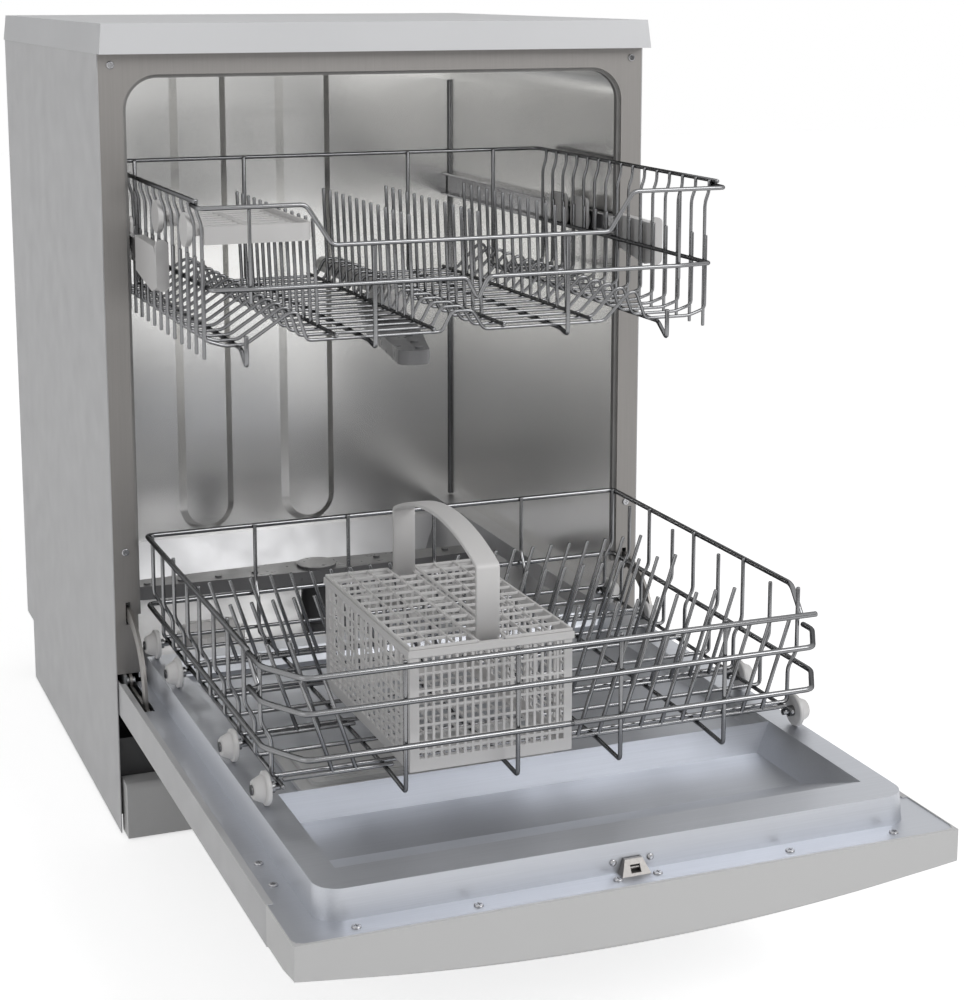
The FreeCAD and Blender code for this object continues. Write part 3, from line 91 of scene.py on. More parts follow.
def tinted(tree, value, colour, share):
    """A colour made darker and lighter by up to a share, as a pattern says."""
    mix = tree.nodes.new("ShaderNodeMix")
    mix.data_type = "RGBA"
    mix.inputs["A"].default_value = (*[c * (1 - share) for c in colour], 1.0)
    mix.inputs["B"].default_value = (*[min(1.0, c * (1 + share)) for c in colour], 1.0)
    tree.links.new(spread(tree, value, 0.0, 1.0), mix.inputs["Factor"])
    return mix.outputs["Result"]


def raised(tree, value, depth):
    """A bump whose peaks stand a depth in metres above its hollows."""
    bump = tree.nodes.new("ShaderNodeBump")
    bump.inputs["Strength"].default_value = 1.0
    bump.inputs["Distance"].default_value = depth
    tree.links.new(value, bump.inputs["Height"])
    return bump.outputs["Normal"]


def finish(name, metal=0.0, rough=0.4):
    """A material of one Principled shader with its plain values on the shader's own sockets."""
    material = bpy.data.materials.new(name)
    material.use_nodes = True
    shader = material.node_tree.nodes["Principled BSDF"]
    shader.inputs["Metallic"].default_value = metal
    shader.inputs["Roughness"].default_value = rough
    return material, material.node_tree, shader


def surface(name, colour, mottle, rough=None, grain=None, metal=0.0):
    """A finish whose colour, roughness and normal vary, each by its own pattern.

    Mottle is a share of the colour, rough the lowest and highest roughness, and grain a depth in metres.
    After these each has the waves a metre of its pattern, and the detail where it isn't the usual one.
    """
    material, tree, shader = finish(name, metal)
    share, *waves = mottle
    tree.links.new(tinted(tree, pattern(tree, *waves), colour, share), shader.inputs["Base Color"])
    if rough:
        low, high, waves = rough
        tree.links.new(spread(tree, pattern(tree, waves), low, high), shader.inputs["Roughness"])
    if grain:
        depth, *waves = grain
        tree.links.new(raised(tree, pattern(tree, *waves), depth), shader.inputs["Normal"])
    return material


def plain(material, socket, value):
    """Sets a value that is the same all over on the shader's own socket."""
    material.node_tree.nodes["Principled BSDF"].inputs[socket].default_value = value


def dress(material, *names):
    """Gives CAD nodes their material."""
    for name in names:
        node[name].data.materials.clear()
        node[name].data.materials.append(material)


LAMINATE_WHITE = (0.79, 0.795, 0.81)
LAMINATE_GLOSS = 0.3
laminate = surface("Laminate", LAMINATE_WHITE, mottle=(0.02, 5.0), rough=(0.48, 0.58, 40.0),
                   grain=(0.00002, 1400.0))
plain(laminate, "Specular IOR Level", LAMINATE_GLOSS)
dress(laminate, "worktop")

# Side panels and the door's outer skin: steel sheet, folded and painted white.
# The paint has the faint orange peel of powder coating.
PAINT_WHITE = (0.545, 0.545, 0.555)
paint = surface("White paint", PAINT_WHITE, mottle=(0.015, 4.0), rough=(0.36, 0.46, 30.0),
                grain=(0.00003, 420.0, 1.0))
dress(paint, "side_panel_left", "side_panel_right", "door_outer_panel")

# Rear panel and hinge brackets: galvanised sheet, left bare.
# The zinc has pale and dark flakes a few millimetres wide.
ZINC_GREY = (0.42, 0.43, 0.44)
zinc = surface("Galvanised sheet", ZINC_GREY, mottle=(0.08, 160.0, 1.0), rough=(0.38, 0.55, 90.0), metal=1.0)
dress(zinc, "rear_panel", "hinge_brackets")

# Base tray, feet and hidden water pieces: black moulded plastic.
# The surface is spark-eroded, so it is dull with a fine pebble.
BASE_BLACK = (0.030, 0.030, 0.032)
black_plastic = surface("Black plastic", BASE_BLACK, mottle=(0.15, 12.0), rough=(0.50, 0.62, 60.0),
                        grain=(0.00004, 1500.0))
dress(black_plastic, "base_tray", "feet", "sump", "circulation_pump", "inlet_valve")

# Counterweight: an iron casting that stands on the back of the tray.
# It is raw from the mould, dark and rough as sand.
IRON_GREY = (0.10, 0.10, 0.10)
iron = surface("Raw casting", IRON_GREY, mottle=(0.3, 200.0), rough=(0.6, 0.8, 300.0), grain=(0.0002, 700.0),
               metal=1.0)
dress(iron, "counterweight")

# Front frame, hinge arms and latch: stainless sheet with a dull rolled finish, screwed on.
# The rolling leaves fine upright lines and a warm grey tone.
FRAME_GREY = (0.262, 0.252, 0.243)
dull_steel = surface("Dull stainless", FRAME_GREY, mottle=(0.02, (700, 700, 18)),
                     rough=(0.42, 0.50, (900, 900, 12)), grain=(0.000002, (1600, 1600, 25)), metal=1.0)
dress(dull_steel, "front_frame", "hinge_arms", "latch")

# Screws and rails: plated steel with a light haze.
# The rails are rolled from strip and run in guides on the tub's walls.
PLATE_GREY = (0.40, 0.40, 0.41)
bright_steel = surface("Plated steel", PLATE_GREY, mottle=(0.06, 60.0), rough=(0.16, 0.28, 120.0), metal=1.0)
dress(bright_steel, "frame_screws", "door_screws", "rail_guides", "rail_left", "rail_right")

# Door seal: a soft grey rubber strip, extruded and pressed into the opening.
# It is dull, with faint darker stretches.
SEAL_GREY = (0.24, 0.235, 0.23)
rubber = surface("Seal rubber", SEAL_GREY, mottle=(0.1, 25.0), rough=(0.55, 0.7, 80.0))
dress(rubber, "door_seal")

# Tub: polished stainless sheet, bent and welded.
# It mirrors softly: the sheet has long shallow waves and an even haze.
TUB_GREY = (0.94, 0.935, 0.92)
TUB_HAZE = 0.24
tub_steel = surface("Polished stainless", TUB_GREY, mottle=(0.05, 3.0), grain=(0.0012, (7, 7, 3), 0.0),
                    metal=1.0)
plain(tub_steel, "Roughness", TUB_HAZE)
dress(tub_steel, "tub_wrap", "tub_back")

# Tub floor: the same sheet, deep drawn to its ledges and its hollow for the sump.
# The drawing leaves it rougher than the walls; its darker grey is painted shade under the baskets.
SHADED_TUB_FLOOR_GREY = (0.50, 0.50, 0.51)
shaded_floor_steel = surface("Drawn stainless with painted shade", SHADED_TUB_FLOOR_GREY, mottle=(0.05, 6.0), rough=(0.34, 0.44, 20.0), metal=1.0)
dress(shaded_floor_steel, "tub_floor")

# Door liner: pressed stainless sheet with a brushed finish, screwed to the outer skin.
# The brush runs across the door, and the metal looks bluish beside the tub.
LINER_GREY = (0.50, 0.515, 0.55)
liner_steel = surface("Brushed stainless", LINER_GREY, mottle=(0.03, (10, 900, 900)),
                      rough=(0.38, 0.46, (14, 1100, 1100)), grain=(0.000003, (20, 2200, 2200)), metal=1.0)
dress(liner_steel, "door_liner")

# Power button, plinth and dispenser: white moulded plastic.
# It is satin, with the fine grain of its mould.
PLASTIC_WHITE = (0.66, 0.66, 0.66)
white_plastic = surface("White plastic", PLASTIC_WHITE, mottle=(0.015, 5.0), rough=(0.36, 0.46, 50.0),
                        grain=(0.00002, 1800.0))
dress(white_plastic, "power_button", "plinth", "dispenser_body", "dispenser_lid")

# Lower basket: drawn stainless wire, bent, welded where wires cross and electropolished.
# Rails run round it, ribs cross the floor and climb both walls, runners go from back to front.
# Drawing leaves the wire smooth, and it mirrors less at its edges.
WIRE_GREY = (0.235, 0.237, 0.243)
WIRE_EDGE = (0.25, 0.25, 0.25, 1.0)
wire_steel = surface("Polished wire", WIRE_GREY, mottle=(0.04, 9.0), rough=(0.17, 0.22, 14.0), metal=1.0)
plain(wire_steel, "Specular Tint", WIRE_EDGE)
dress(wire_steel, "wheel_axles")
FRONT_PLANE = 42.0
MM = 0.001
BEND_STEPS = 6
BEND_SHARE = 0.45
END_INSET = np.array((0.0, 0.15, 0.5))
END_SIZE = np.array((0.6, 0.88, 1.0))
LEAN = np.array((0.36, 0.48, 0.80))


def metres(points):
    """Points in millimetres from the cabinet's front plane, as metres in the shared frame."""
    return (np.asarray(points, float) + (0.0, FRONT_PLANE, 0.0)) * MM


def unit(vectors):
    """Vectors made one long: v / |v|."""
    return vectors / np.linalg.norm(vectors, axis=-1, keepdims=True)


def bent(corners, reach):
    """A path with round bends: B(t) = (1-t)^2 a + 2t(1-t) c + t^2 b, a and b a reach from corner c."""
    length = np.linalg.norm(np.diff(corners, axis=0), axis=1)[:, None]
    way = np.diff(corners, axis=0) / length
    reach = np.minimum(reach, BEND_SHARE * np.minimum(length[:-1], length[1:]))
    corner = corners[1:-1, None]
    a, b = corner - (way[:-1] * reach)[:, None], corner + (way[1:] * reach)[:, None]
    t = np.linspace(0.0, 1.0, BEND_STEPS)[None, :, None]
    curve = (1 - t) ** 2 * a + 2 * t * (1 - t) * corner + t ** 2 * b
    return np.concatenate([corners[:1], curve.reshape(-1, 3), corners[-1:]])


def skinned(rings):
    """A closed skin over rings of points: quads from each ring to the next, and across both ends."""
    count = rings.shape[1]
    index = np.arange(len(rings) * count).reshape(-1, count)
    ahead = np.roll(index, -1, axis=1)
    skin = np.stack([index[:-1], ahead[:-1], ahead[1:], index[1:]], -1).reshape(-1, 4)
    k = np.arange(count // 2 - 1)
    cap = np.stack([k, k + 1, count - 2 - k, count - 1 - k], -1)
    return rings.reshape(-1, 3), np.concatenate([skin, index[0][cap][:, ::-1], index[-1][cap]])


def swept(path, section, lean, size):
    """A section along a path: P(i, j) = path_i + size_i (a_j s_i + b_j t_i x s_i), s_i square to t_i."""
    way = unit(np.gradient(path, axis=0))
    side = unit(lean - (way @ lean)[:, None] * way)
    over = np.cross(way, side)
    rings = section[None, :, :1] * side[:, None] + section[None, :, 1:] * over[:, None]
    return skinned(path[:, None] + size[:, None, None] * rings)


def circle(count):
    """Points on the unit circle: (cos a, sin a)."""
    angle = np.arange(count) * 2 * np.pi / count
    return np.stack([np.cos(angle), np.sin(angle)], -1)


def wire(corners, radius, reach=5.0, sides=10):
    """A round wire on a bent path, cut off flat with its edge broken: radius r e_k, r d_k from the end."""
    path = bent(metres(corners), reach * MM)
    r = radius * MM
    first, last = unit(path[1] - path[0]), unit(path[-1] - path[-2])
    inset = r * END_INSET[:, None]
    head, tail = path[0] + first * inset, path[-1] - last * inset[::-1]
    size = r * np.concatenate([END_SIZE, np.ones(len(path) - 2), END_SIZE[::-1]])
    return swept(np.concatenate([head, path[1:-1], tail]), circle(sides), LEAN, size)


def mirrored(half):
    """A path from the left end to the right end, from its right half given from the middle outwards."""
    half = np.asarray(half, float)
    return np.concatenate([half[:0:-1] * (-1, 1, 1), half])


def piece(name, skins, material, body, slot, *stands_for, smooth=True):
    """One mesh of several skins that rides on a body in place of its CAD nodes."""
    start = np.cumsum([0] + [len(points) for points, faces in skins])
    mesh = bpy.data.meshes.new(name)
    all_points = np.concatenate([points for points, faces in skins])
    all_faces = np.concatenate([faces + first for (points, faces), first in zip(skins, start)])
    mesh.from_pydata(all_points.tolist(), [], all_faces.tolist())
    mesh.polygons.foreach_set("use_smooth", np.full(len(all_faces), smooth))
    mesh.materials.append(material)
    made = bpy.data.objects.new(name, mesh)
    bpy.context.scene.collection.objects.link(made)
    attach(made, body)
    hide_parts(*stands_for)
    return made


LOW_X, LOW_REAR, LOW_FRONT = 266.0, -10.0, -490.0
LOW_RIM, LOW_SECOND, LOW_MID = 327.0, 294.0, 254.0
LOW_FLOOR, LOW_UNDER = 218.7, 215.0
LOW_RAIL, LOW_RIB = 2.6, 2.0
CORNER_X, CORNER_Y = 240.0, -445.0
WELD = 0.3
LOW_SEAT = LOW_RAIL + LOW_RIB - WELD
LOW_WALL, LOW_BACK, LOW_FACE = LOW_X - LOW_SEAT, LOW_REAR - LOW_SEAT, LOW_FRONT + LOW_SEAT
KNEE, SHOULDER, RIB_STEP = 252.0, 268.0, 9.0
RIB_TOP, BAR_TOP = LOW_RIM + 3, LOW_RIM - 6
RUNNER_STEP, RUNNER_TURN, RUNNER_DIP, RUNNER_TOP = 10.0, -440.0, 212.0, LOW_RIM + 2
RIB_YS, BAR_YS, RUNNER_XS = (-18, -111, -214, -319, -425), (-62, -166, -268, -373), (-152, -49, 49, 152)
SIDE_BAR_X = LOW_X - 18
RAIL_BEND, RAIL_SIDES = 7.0, 14


def front_bow(z, left_y, right_y):
    """A front rail from a point on the left wall, round both corners, to one on the right wall."""
    return [(-LOW_X, left_y, z), (-LOW_X, CORNER_Y, z), (-CORNER_X, LOW_FRONT, z), (CORNER_X, LOW_FRONT, z),
            (LOW_X, CORNER_Y, z), (LOW_X, right_y, z)]


def cross_rib(y, top):
    """A rib across the floor that climbs both walls, by a step outwards, up to a top."""
    half = [(0, y, LOW_FLOOR), (LOW_WALL - RIB_STEP, y, LOW_FLOOR), (LOW_WALL - RIB_STEP, y, KNEE),
            (LOW_WALL, y, SHOULDER), (LOW_WALL, y, top)]
    return wire(mirrored(half), LOW_RIB)


def runner(x):
    """A wire down the back wall, under the ribs and up the front wall."""
    return wire([(x, LOW_BACK, RIB_TOP), (x, LOW_BACK, SHOULDER), (x, LOW_BACK - RUNNER_STEP, KNEE),
                 (x, LOW_BACK - RUNNER_STEP, LOW_UNDER), (x, RUNNER_TURN, LOW_UNDER),
                 (x, LOW_FACE, RUNNER_DIP), (x, LOW_FACE, RUNNER_TOP)], LOW_RIB)


rim_half = [(0, LOW_REAR, LOW_RIM), (LOW_X, LOW_REAR, LOW_RIM), (LOW_X, -405, LOW_RIM),
            (LOW_X - 2, -428, LOW_RIM - 24)]
mid_right = [(-3, LOW_REAR, LOW_MID), (LOW_X, LOW_REAR, LOW_MID), (LOW_X, CORNER_Y, LOW_MID),
             (CORNER_X, LOW_FRONT, LOW_MID), (-3, LOW_FRONT, LOW_MID)]
top_bow = front_bow(LOW_RIM - 2, -404, -445)[:3] + [(CORNER_X + 3, LOW_FRONT, LOW_RIM - 2)]
low_rails = [mirrored(rim_half), mid_right, np.multiply(mid_right, (-1, 1, 1)), top_bow,
             front_bow(LOW_SECOND, -404, -427)]
side_bars = [[(x, CORNER_Y, LOW_UNDER), (x, -230, LOW_UNDER), (x, -8, LOW_UNDER)]
             for x in (-SIDE_BAR_X, SIDE_BAR_X)]
lower_wires = [wire(path, LOW_RAIL, RAIL_BEND, RAIL_SIDES) for path in low_rails]
lower_wires += [wire(path, LOW_RIB) for path in side_bars]
lower_wires += [cross_rib(y, RIB_TOP) for y in RIB_YS]
lower_wires += [runner(x) for x in RUNNER_XS]
lower_wires += [cross_rib(y, BAR_TOP) for y in BAR_YS]
piece("lower_basket_wires", lower_wires, wire_steel, "lower_basket", "wire", "lower_basket")

# Tub seams: a rolled bead of the tub's sheet closes each rear corner.
# It is welded to the side wall and the back over the whole height.
SEAM_X, SEAM_Y, SEAM_R = 273.8, 526.8, 2.6
SEAM_LEVELS = (197.0, 480.0, 763.0)
NO_BEND = 0.5
# The bead is real, but it wears the darker wire steel, which paints shade along each rear corner.
shaded_seams = [wire([(side * SEAM_X, SEAM_Y, z) for z in SEAM_LEVELS], SEAM_R, NO_BEND) for side in (-1, 1)]
piece("tub_seams_painted_shade", shaded_seams, wire_steel, "cabinet", "tub_steel")

# Latch screws: two plated pan heads, one on each side of the latch.
# They hold it against the wall of the liner's rim.
HEAD_X, HEAD_Z, HEAD_SIDES = 17.0, 178.5, 20
HEAD_STEPS = np.array((-610.6, -612.2, -612.8, -613.0))
HEAD_SIZES = np.array((3.0, 3.0, 2.5, 1.4)) * MM


def screw_head(x):
    """A head of revolution about y: radius HEAD_SIZES at HEAD_STEPS."""
    path = metres([(x, y, HEAD_Z) for y in HEAD_STEPS])
    return swept(path, circle(HEAD_SIDES), LEAN, HEAD_SIZES)


piece("latch_screws", [screw_head(-HEAD_X), screw_head(HEAD_X)], bright_steel, "door", "bright_steel")

# Console: a white moulding that ends almost straight, with a bellied lip below for the hand.
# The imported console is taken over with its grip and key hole, and its bowed front is drawn in.
CONSOLE_HALF, CONSOLE_BOW, CONSOLE_END = 298.0, 23.0, -642.0
SEAT_END, SEAT_REAR, LIP_TOP, LIP_LOW, LIP_DROP = -639.0, -632.0, 170.0, 141.0, 21.0
BOTTOM_Y, BOTTOM_Z = (610.0, 645.0, 666.0), (136.5, 141.0, 147.0)
LIP_Y = np.array((-642.0, -642.0, -642.0, -640.8, -638.0, -634.0))
LIP_SHARE = np.array((0.0, 0.5, 0.86, 0.98, 1.0, 0.05))
LIP_STEPS, LIP_REACH = 61, 0.995
LAST_BOW = 1.0


def console_bow(x):
    """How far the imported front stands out: b(x) = sqrt(r^2 - x^2) - r + b(0)."""
    radius = (CONSOLE_HALF ** 2 + CONSOLE_BOW ** 2) / (2 * CONSOLE_BOW)
    return np.sqrt(radius ** 2 - x ** 2) - radius + CONSOLE_BOW


def eased(x):
    """The bow that is left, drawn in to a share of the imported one."""
    return console_bow(x) * LAST_BOW / CONSOLE_BOW


def straightened(points):
    """The bow drawn in, its foot levelled: y' = s + (y - s)(d + e(x)) / (d + b(x)), z' = t - (t - z) k."""
    x, y, z = points.T
    bow = console_bow(x)
    foot = np.interp(bow - CONSOLE_END, BOTTOM_Y, BOTTOM_Z)
    share = np.clip((SEAT_REAR - y) / (SEAT_REAR - SEAT_END), 0, 1)
    stretch = 1 + share * ((LIP_TOP - LIP_LOW) / (LIP_TOP - foot) - 1)
    depth = SEAT_END - CONSOLE_END
    share_left = (depth + eased(x)) / (depth + bow)
    drawn = np.where(y < SEAT_END, SEAT_END + (y - SEAT_END) * share_left, y)
    return np.column_stack([x, drawn, LIP_TOP - (LIP_TOP - z) * stretch])


def packed_skin(name):
    """The points, merged and in millimetres from the cabinet's front plane, and triangles of a node."""
    mesh = node[name].data
    flat = np.empty(len(mesh.vertices) * 3)
    mesh.vertices.foreach_get("co", flat)
    turn = np.array(node[name].matrix_world)
    points = flat.reshape(-1, 3) @ turn[:3, :3].T + turn[:3, 3]
    mesh.calc_loop_triangles()
    corners = np.empty(len(mesh.loop_triangles) * 3, dtype=np.int32)
    mesh.loop_triangles.foreach_get("vertices", corners)
    points = (points / MM - (0.0, FRONT_PLANE, 0.0)).round(3)
    points, place = np.unique(points, axis=0, return_inverse=True)
    return points, place.reshape(-1)[corners].reshape(-1, 3)


def lip():
    """A lip, lowest in the middle: P(x, j) = (x, y_j - e(x), low - drop (1 - (x / half)^2) s_j)."""
    x = np.linspace(-LIP_REACH, LIP_REACH, LIP_STEPS) * CONSOLE_HALF
    drop = LIP_DROP * (1 - (x / CONSOLE_HALF) ** 2)
    z = LIP_LOW - drop[:, None] * LIP_SHARE
    across = np.broadcast_to(x[:, None], z.shape)
    return skinned(metres(np.stack([across, LIP_Y - eased(x)[:, None], z], -1)))


points, triangles = packed_skin("console")
shell = (metres(straightened(points)), triangles)
piece("console_shell", [shell], white_plastic, "door", "pale_plastic", "console", smooth=False)
piece("console_lip", [lip()], white_plastic, "door", "pale_plastic", smooth=False)

# Lower tines: rows of leaning plate holders, welded to a bar that lies across the floor.
# Two rows stop on both sides of the cutlery basket.
TINE_R, TINE_HIGH, TINE_LEAN = 1.9, 86.0, 28.0
TINE_PLACES = 30.0 + 21.0 * np.arange(-11, 10)
BARE_LEFT, BARE_RIGHT = 10.0, 20.0
WHOLE, LEFT_PART, RIGHT_PART = (-246.0, 246.0), (-246.0, -146.0), (14.0, 246.0)
TINE_ROWS = ((-121, WHOLE), (-203, WHOLE), (-330, LEFT_PART), (-330, RIGHT_PART), (-436, LEFT_PART),
             (-436, RIGHT_PART))


def straight(start, end, radius, sides=10):
    """A straight wire."""
    return wire([start, np.add(start, end) / 2, end], radius, NO_BEND, sides)


def tine_row(y, low, high):
    """A bar whose ends are bare, with tines that lean away from the middle of the basket."""
    places = [x for x in TINE_PLACES if low + BARE_LEFT < x < high - BARE_RIGHT]
    tip = LOW_FLOOR + TINE_HIGH
    tines = [straight((x, y, LOW_FLOOR), (x + np.sign(x) * TINE_LEAN, y, tip), TINE_R) for x in places]
    return [straight((low, y, LOW_FLOOR), (high, y, LOW_FLOOR), LOW_RIB)] + tines


rows = [skin for y, (low, high) in TINE_ROWS for skin in tine_row(y, low, high)]
piece("lower_tine_wires", rows, wire_steel, "lower_basket", "wire", "lower_tines")

# Upper basket: thinner wire, welded in the same way, with waves across the floor that hold cups.
# Each wall has a short leg of every rib and, beside it, a long wire that hangs from the rim.
UP_X, UP_RIM_X, UP_REAR, UP_FRONT = 256.0, 264.0, 205.0, -260.0
UP_RIM, UP_DIP, UP_MID, UP_FLOOR, UP_CREST = 696.0, 653.0, 616.0, 562.0, 589.0
UP_RAIL, UP_RIB = 2.2, 1.7
UP_UNDER, UP_FACE, UP_BACK = 558.4, -256.4, 201.4
UP_SIDE, UP_END, HANG_X, HANG_BESIDE = 252.4, 215.0, 260.4, 3.1
UP_TURN, UP_BEND = -236.0, 10.0
RIB_PLACES = -238.0 + 29.0 * np.arange(15)
WAVE = ((-256, 642), (-256, 568), (-238, UP_FLOOR), (-218, UP_FLOOR), (-176, UP_CREST), (-168, UP_CREST),
        (-159, UP_FLOOR), (-25, UP_FLOOR), (-15, 581), (6, 581), (18, UP_FLOOR), (145, UP_FLOOR),
        (172, UP_CREST), (180, UP_CREST), (190, UP_FLOOR), (238, UP_FLOOR), (256, 568), (256, 642))


def hanger(side, y):
    """A wire from the rim, by a jog, down to below the floor."""
    path = [(HANG_X, UP_RIM + 1), (HANG_X, UP_RIM - 10), (UP_X, UP_RIM - 22), (UP_X, UP_FLOOR - 12)]
    return wire([(side * x, y, z) for x, z in path], UP_RIB)


def upper_runner(x, levels):
    """A wire down the back wall and under the floor, then through levels at the front wall."""
    path = [(x, UP_BACK, UP_RIM + 1), (x, UP_BACK, UP_UNDER), (x, UP_TURN, UP_UNDER)]
    return wire(path + [(x, UP_FACE, z) for z in levels], UP_RAIL)


dip_half = [(0, UP_FRONT, UP_DIP), (140, UP_FRONT, UP_DIP), (165, UP_FRONT, UP_RIM - 5),
            (UP_RIM_X, UP_FRONT, UP_RIM - 5), (UP_RIM_X, UP_FRONT + 30, UP_RIM - 4)]
rim_path = [(0, UP_REAR, UP_RIM), (UP_RIM_X, UP_REAR, UP_RIM), (UP_RIM_X, UP_FRONT + 14, UP_RIM)]
notched = [(-UP_SIDE, 175, UP_MID), (-UP_SIDE, -254, UP_MID), (-UP_END, UP_FRONT, UP_MID),
           (-8, UP_FRONT, UP_MID), (3, UP_FRONT, UP_MID - 21), (14, UP_FRONT, UP_MID),
           (UP_END, UP_FRONT, UP_MID), (UP_SIDE, -254, UP_MID), (UP_SIDE, 175, UP_MID)]
upper_wires = [wire(mirrored(rim_path), UP_RAIL, UP_BEND), wire(mirrored(dip_half), UP_RAIL),
               wire(notched, UP_RAIL)]
upper_wires += [wire([(x, y, z) for x, z in WAVE], UP_RIB) for y in RIB_PLACES]
upper_wires += [hanger(side, y + HANG_BESIDE) for side in (-1, 1) for y in RIB_PLACES]
upper_wires += [upper_runner(x, (UP_UNDER - 4, UP_DIP + 3)) for x in (-98, 98)]
upper_wires += [upper_runner(x, (UP_FLOOR - 18, UP_FLOOR + 11)) for x in (-222, 205)]
upper_wires += [straight((x, UP_FACE, 602), (x, UP_FACE, 692), UP_RIB) for x in (-217, 217)]
piece("upper_basket_wires", upper_wires, wire_steel, "upper_basket", "wire", "upper_basket")

# Upper tines: four rows of upright cup and saucer holders, of the same polished wire.
# Each row is welded to a bar along the floor and leans a little to the left.
UP_TINE_Z, UP_TINE_HIGH, UP_TINE_R, UP_BAR_R = 565.3, 104.0, 1.8, 1.9
UP_BAR_FRONT, UP_BAR_REAR, UP_LEAN = -242, 172, 4
UP_TINE_TIP = UP_TINE_Z + UP_TINE_HIGH
UP_TINE_PLACES = -182.0 + 23.0 * np.arange(13)
upper_rows = []
for x in (-131, -34, 38, 130):
    upper_rows.append(straight((x, UP_BAR_FRONT, UP_TINE_Z), (x, UP_BAR_REAR, UP_TINE_Z), UP_BAR_R))
    upper_rows += [straight((x, y, UP_TINE_Z), (x - UP_LEAN, y, UP_TINE_TIP), UP_TINE_R)
                   for y in UP_TINE_PLACES]
piece("upper_tine_wires", upper_rows, wire_steel, "upper_basket", "wire", "upper_tines")

# Wheels, rollers, caps, shelf and feed pipe: light grey moulded plastic, a little warm.
# The wheels turn on the basket's axles, the rollers in carriers, and the shelf hangs in clips.
PLASTIC_GREY = (0.72, 0.71, 0.705)
grey_plastic = surface("Grey plastic", PLASTIC_GREY, mottle=(0.03, 9.0), rough=(0.34, 0.48, 70.0),
                       grain=(0.00002, 1600.0))
dress(grey_plastic, "cup_shelf", "shelf_clips", "rail_cap_left", "rail_cap_right", "upper_feed_pipe",
      "filter_cup", "salt_cap")
dress(grey_plastic, *[name for name in node if name.startswith(("wheel_left", "wheel_right", "roller_"))])

# Spray arms: hollow mouldings of a darker grey plastic, welded from two halves.
# Each turns on its post, and the water has polished it.
ARM_GREY = (0.16, 0.16, 0.165)
arm_plastic = surface("Spray arm plastic", ARM_GREY, mottle=(0.06, 12.0), rough=(0.26, 0.36, 60.0))
dress(arm_plastic, "upper_spray_arm", "lower_spray_arm")

# Cutlery basket: one grey moulding with fine grids for walls and floor, a rim and an arched handle.
# The end walls have tall windows over two rows of small ones. The long walls are closer-set below.
CUT_X0, CUT_X1, CUT_Y0, CUT_Y1 = -142.0, 10.0, -468.0, -230.0
CUT_LOW, CUT_TOP, CUT_WALL, CUT_RIM = 221.0, 330.0, 2.0, 1.4
CUT_MID = (CUT_X0 + CUT_X1) / 2
END_COLUMNS = [9.0] + [4.7, 2.6] * 18 + [4.7, 8.0]
END_ROWS = [11.0, 5.2, 2.6, 5.2, 2.6] + [13.0, 2.2] * 4 + [13.0, 7.6]
LONG_COLUMNS = [9.0] + [11.2, 2.6] * 15 + [11.2, 9.0]
LONG_ROWS = [11.0] + [5.5, 2.2] * 5 + [12.5, 2.2] * 3 + [12.5, 7.6]
BASE_COLUMNS, BASE_ROWS = [8.0] + [14.0, 2.4] * 7 + [14.0, 8.0], [8.0] + [16.0, 2.4] * 11 + [16.0, 8.0]
STRIP_COLUMNS, LID_ROWS = [2.4, 17.2, 2.4], [2.6] + [17.4, 2.0] * 11 + [17.4, 2.6]
CUT_RIM_LOW, STRIP_HALF, STRIP_THICK = 323.5, 11.0, 3.0


def lines(low, high, sizes):
    """The lines between bars and windows whose sizes share the room from low to high."""
    steps = np.concatenate([[0.0], np.cumsum(sizes)])
    return low + (high - low) * steps / steps[-1]


def lattice(u, v, low, high, order):
    """A sheet from low to high with a window in each cell (i, j) of the lines u, v where i and j are odd."""
    index = np.arange(len(u) * len(v)).reshape(len(u), len(v))
    flat = np.stack(np.meshgrid(u, v, indexing="ij"), -1).reshape(-1, 2)
    layers = [np.column_stack([flat, np.full(len(flat), level)]) for level in (low, high)]
    points = metres(np.concatenate(layers)[:, order])
    over = len(flat)
    odd_u, odd_v = np.arange(len(u) - 1) % 2 == 1, np.arange(len(v) - 1) % 2 == 1
    filled = ~(odd_u[:, None] & odd_v[None, :])
    corner = np.stack([index[:-1, :-1], index[1:, :-1], index[1:, 1:], index[:-1, 1:]], -1)[filled]
    before_u, after_u = np.pad(filled, ((1, 0), (0, 0))), np.pad(filled, ((0, 1), (0, 0)))
    before_v, after_v = np.pad(filled, ((0, 0), (1, 0))), np.pad(filled, ((0, 0), (0, 1)))
    step_v = np.stack([index[:, :-1], index[:, 1:], index[:, 1:] + over, index[:, :-1] + over], -1)
    step_u = np.stack([index[:-1], index[1:], index[1:] + over, index[:-1] + over], -1)
    return points, np.concatenate([
        corner + over, corner[:, ::-1],
        step_v[before_u & ~after_u], step_v[after_u & ~before_u][:, ::-1],
        step_u[after_v & ~before_v], step_u[before_v & ~after_v][:, ::-1],
    ])


FACING_X, FACING_Y, FACING_Z = [2, 0, 1], [1, 2, 0], [0, 1, 2]
end_x, end_z = lines(CUT_X0, CUT_X1, END_COLUMNS), lines(CUT_LOW, CUT_TOP, END_ROWS)
long_y = lines(CUT_Y0 + CUT_WALL, CUT_Y1 - CUT_WALL, LONG_COLUMNS)
long_z = lines(CUT_LOW, CUT_TOP, LONG_ROWS)
floor_x = lines(CUT_X0 + CUT_WALL, CUT_X1 - CUT_WALL, BASE_COLUMNS)
floor_y = lines(CUT_Y0 + CUT_WALL, CUT_Y1 - CUT_WALL, BASE_ROWS)
rim_x = np.array((CUT_X0 - CUT_RIM, CUT_X0, CUT_X1, CUT_X1 + CUT_RIM))
rim_y = np.array((CUT_Y0 - CUT_RIM, CUT_Y0, CUT_Y1, CUT_Y1 + CUT_RIM))
cutlery = [lattice(end_z, end_x, y, y + CUT_WALL, FACING_Y) for y in (CUT_Y0, CUT_Y1 - CUT_WALL)]
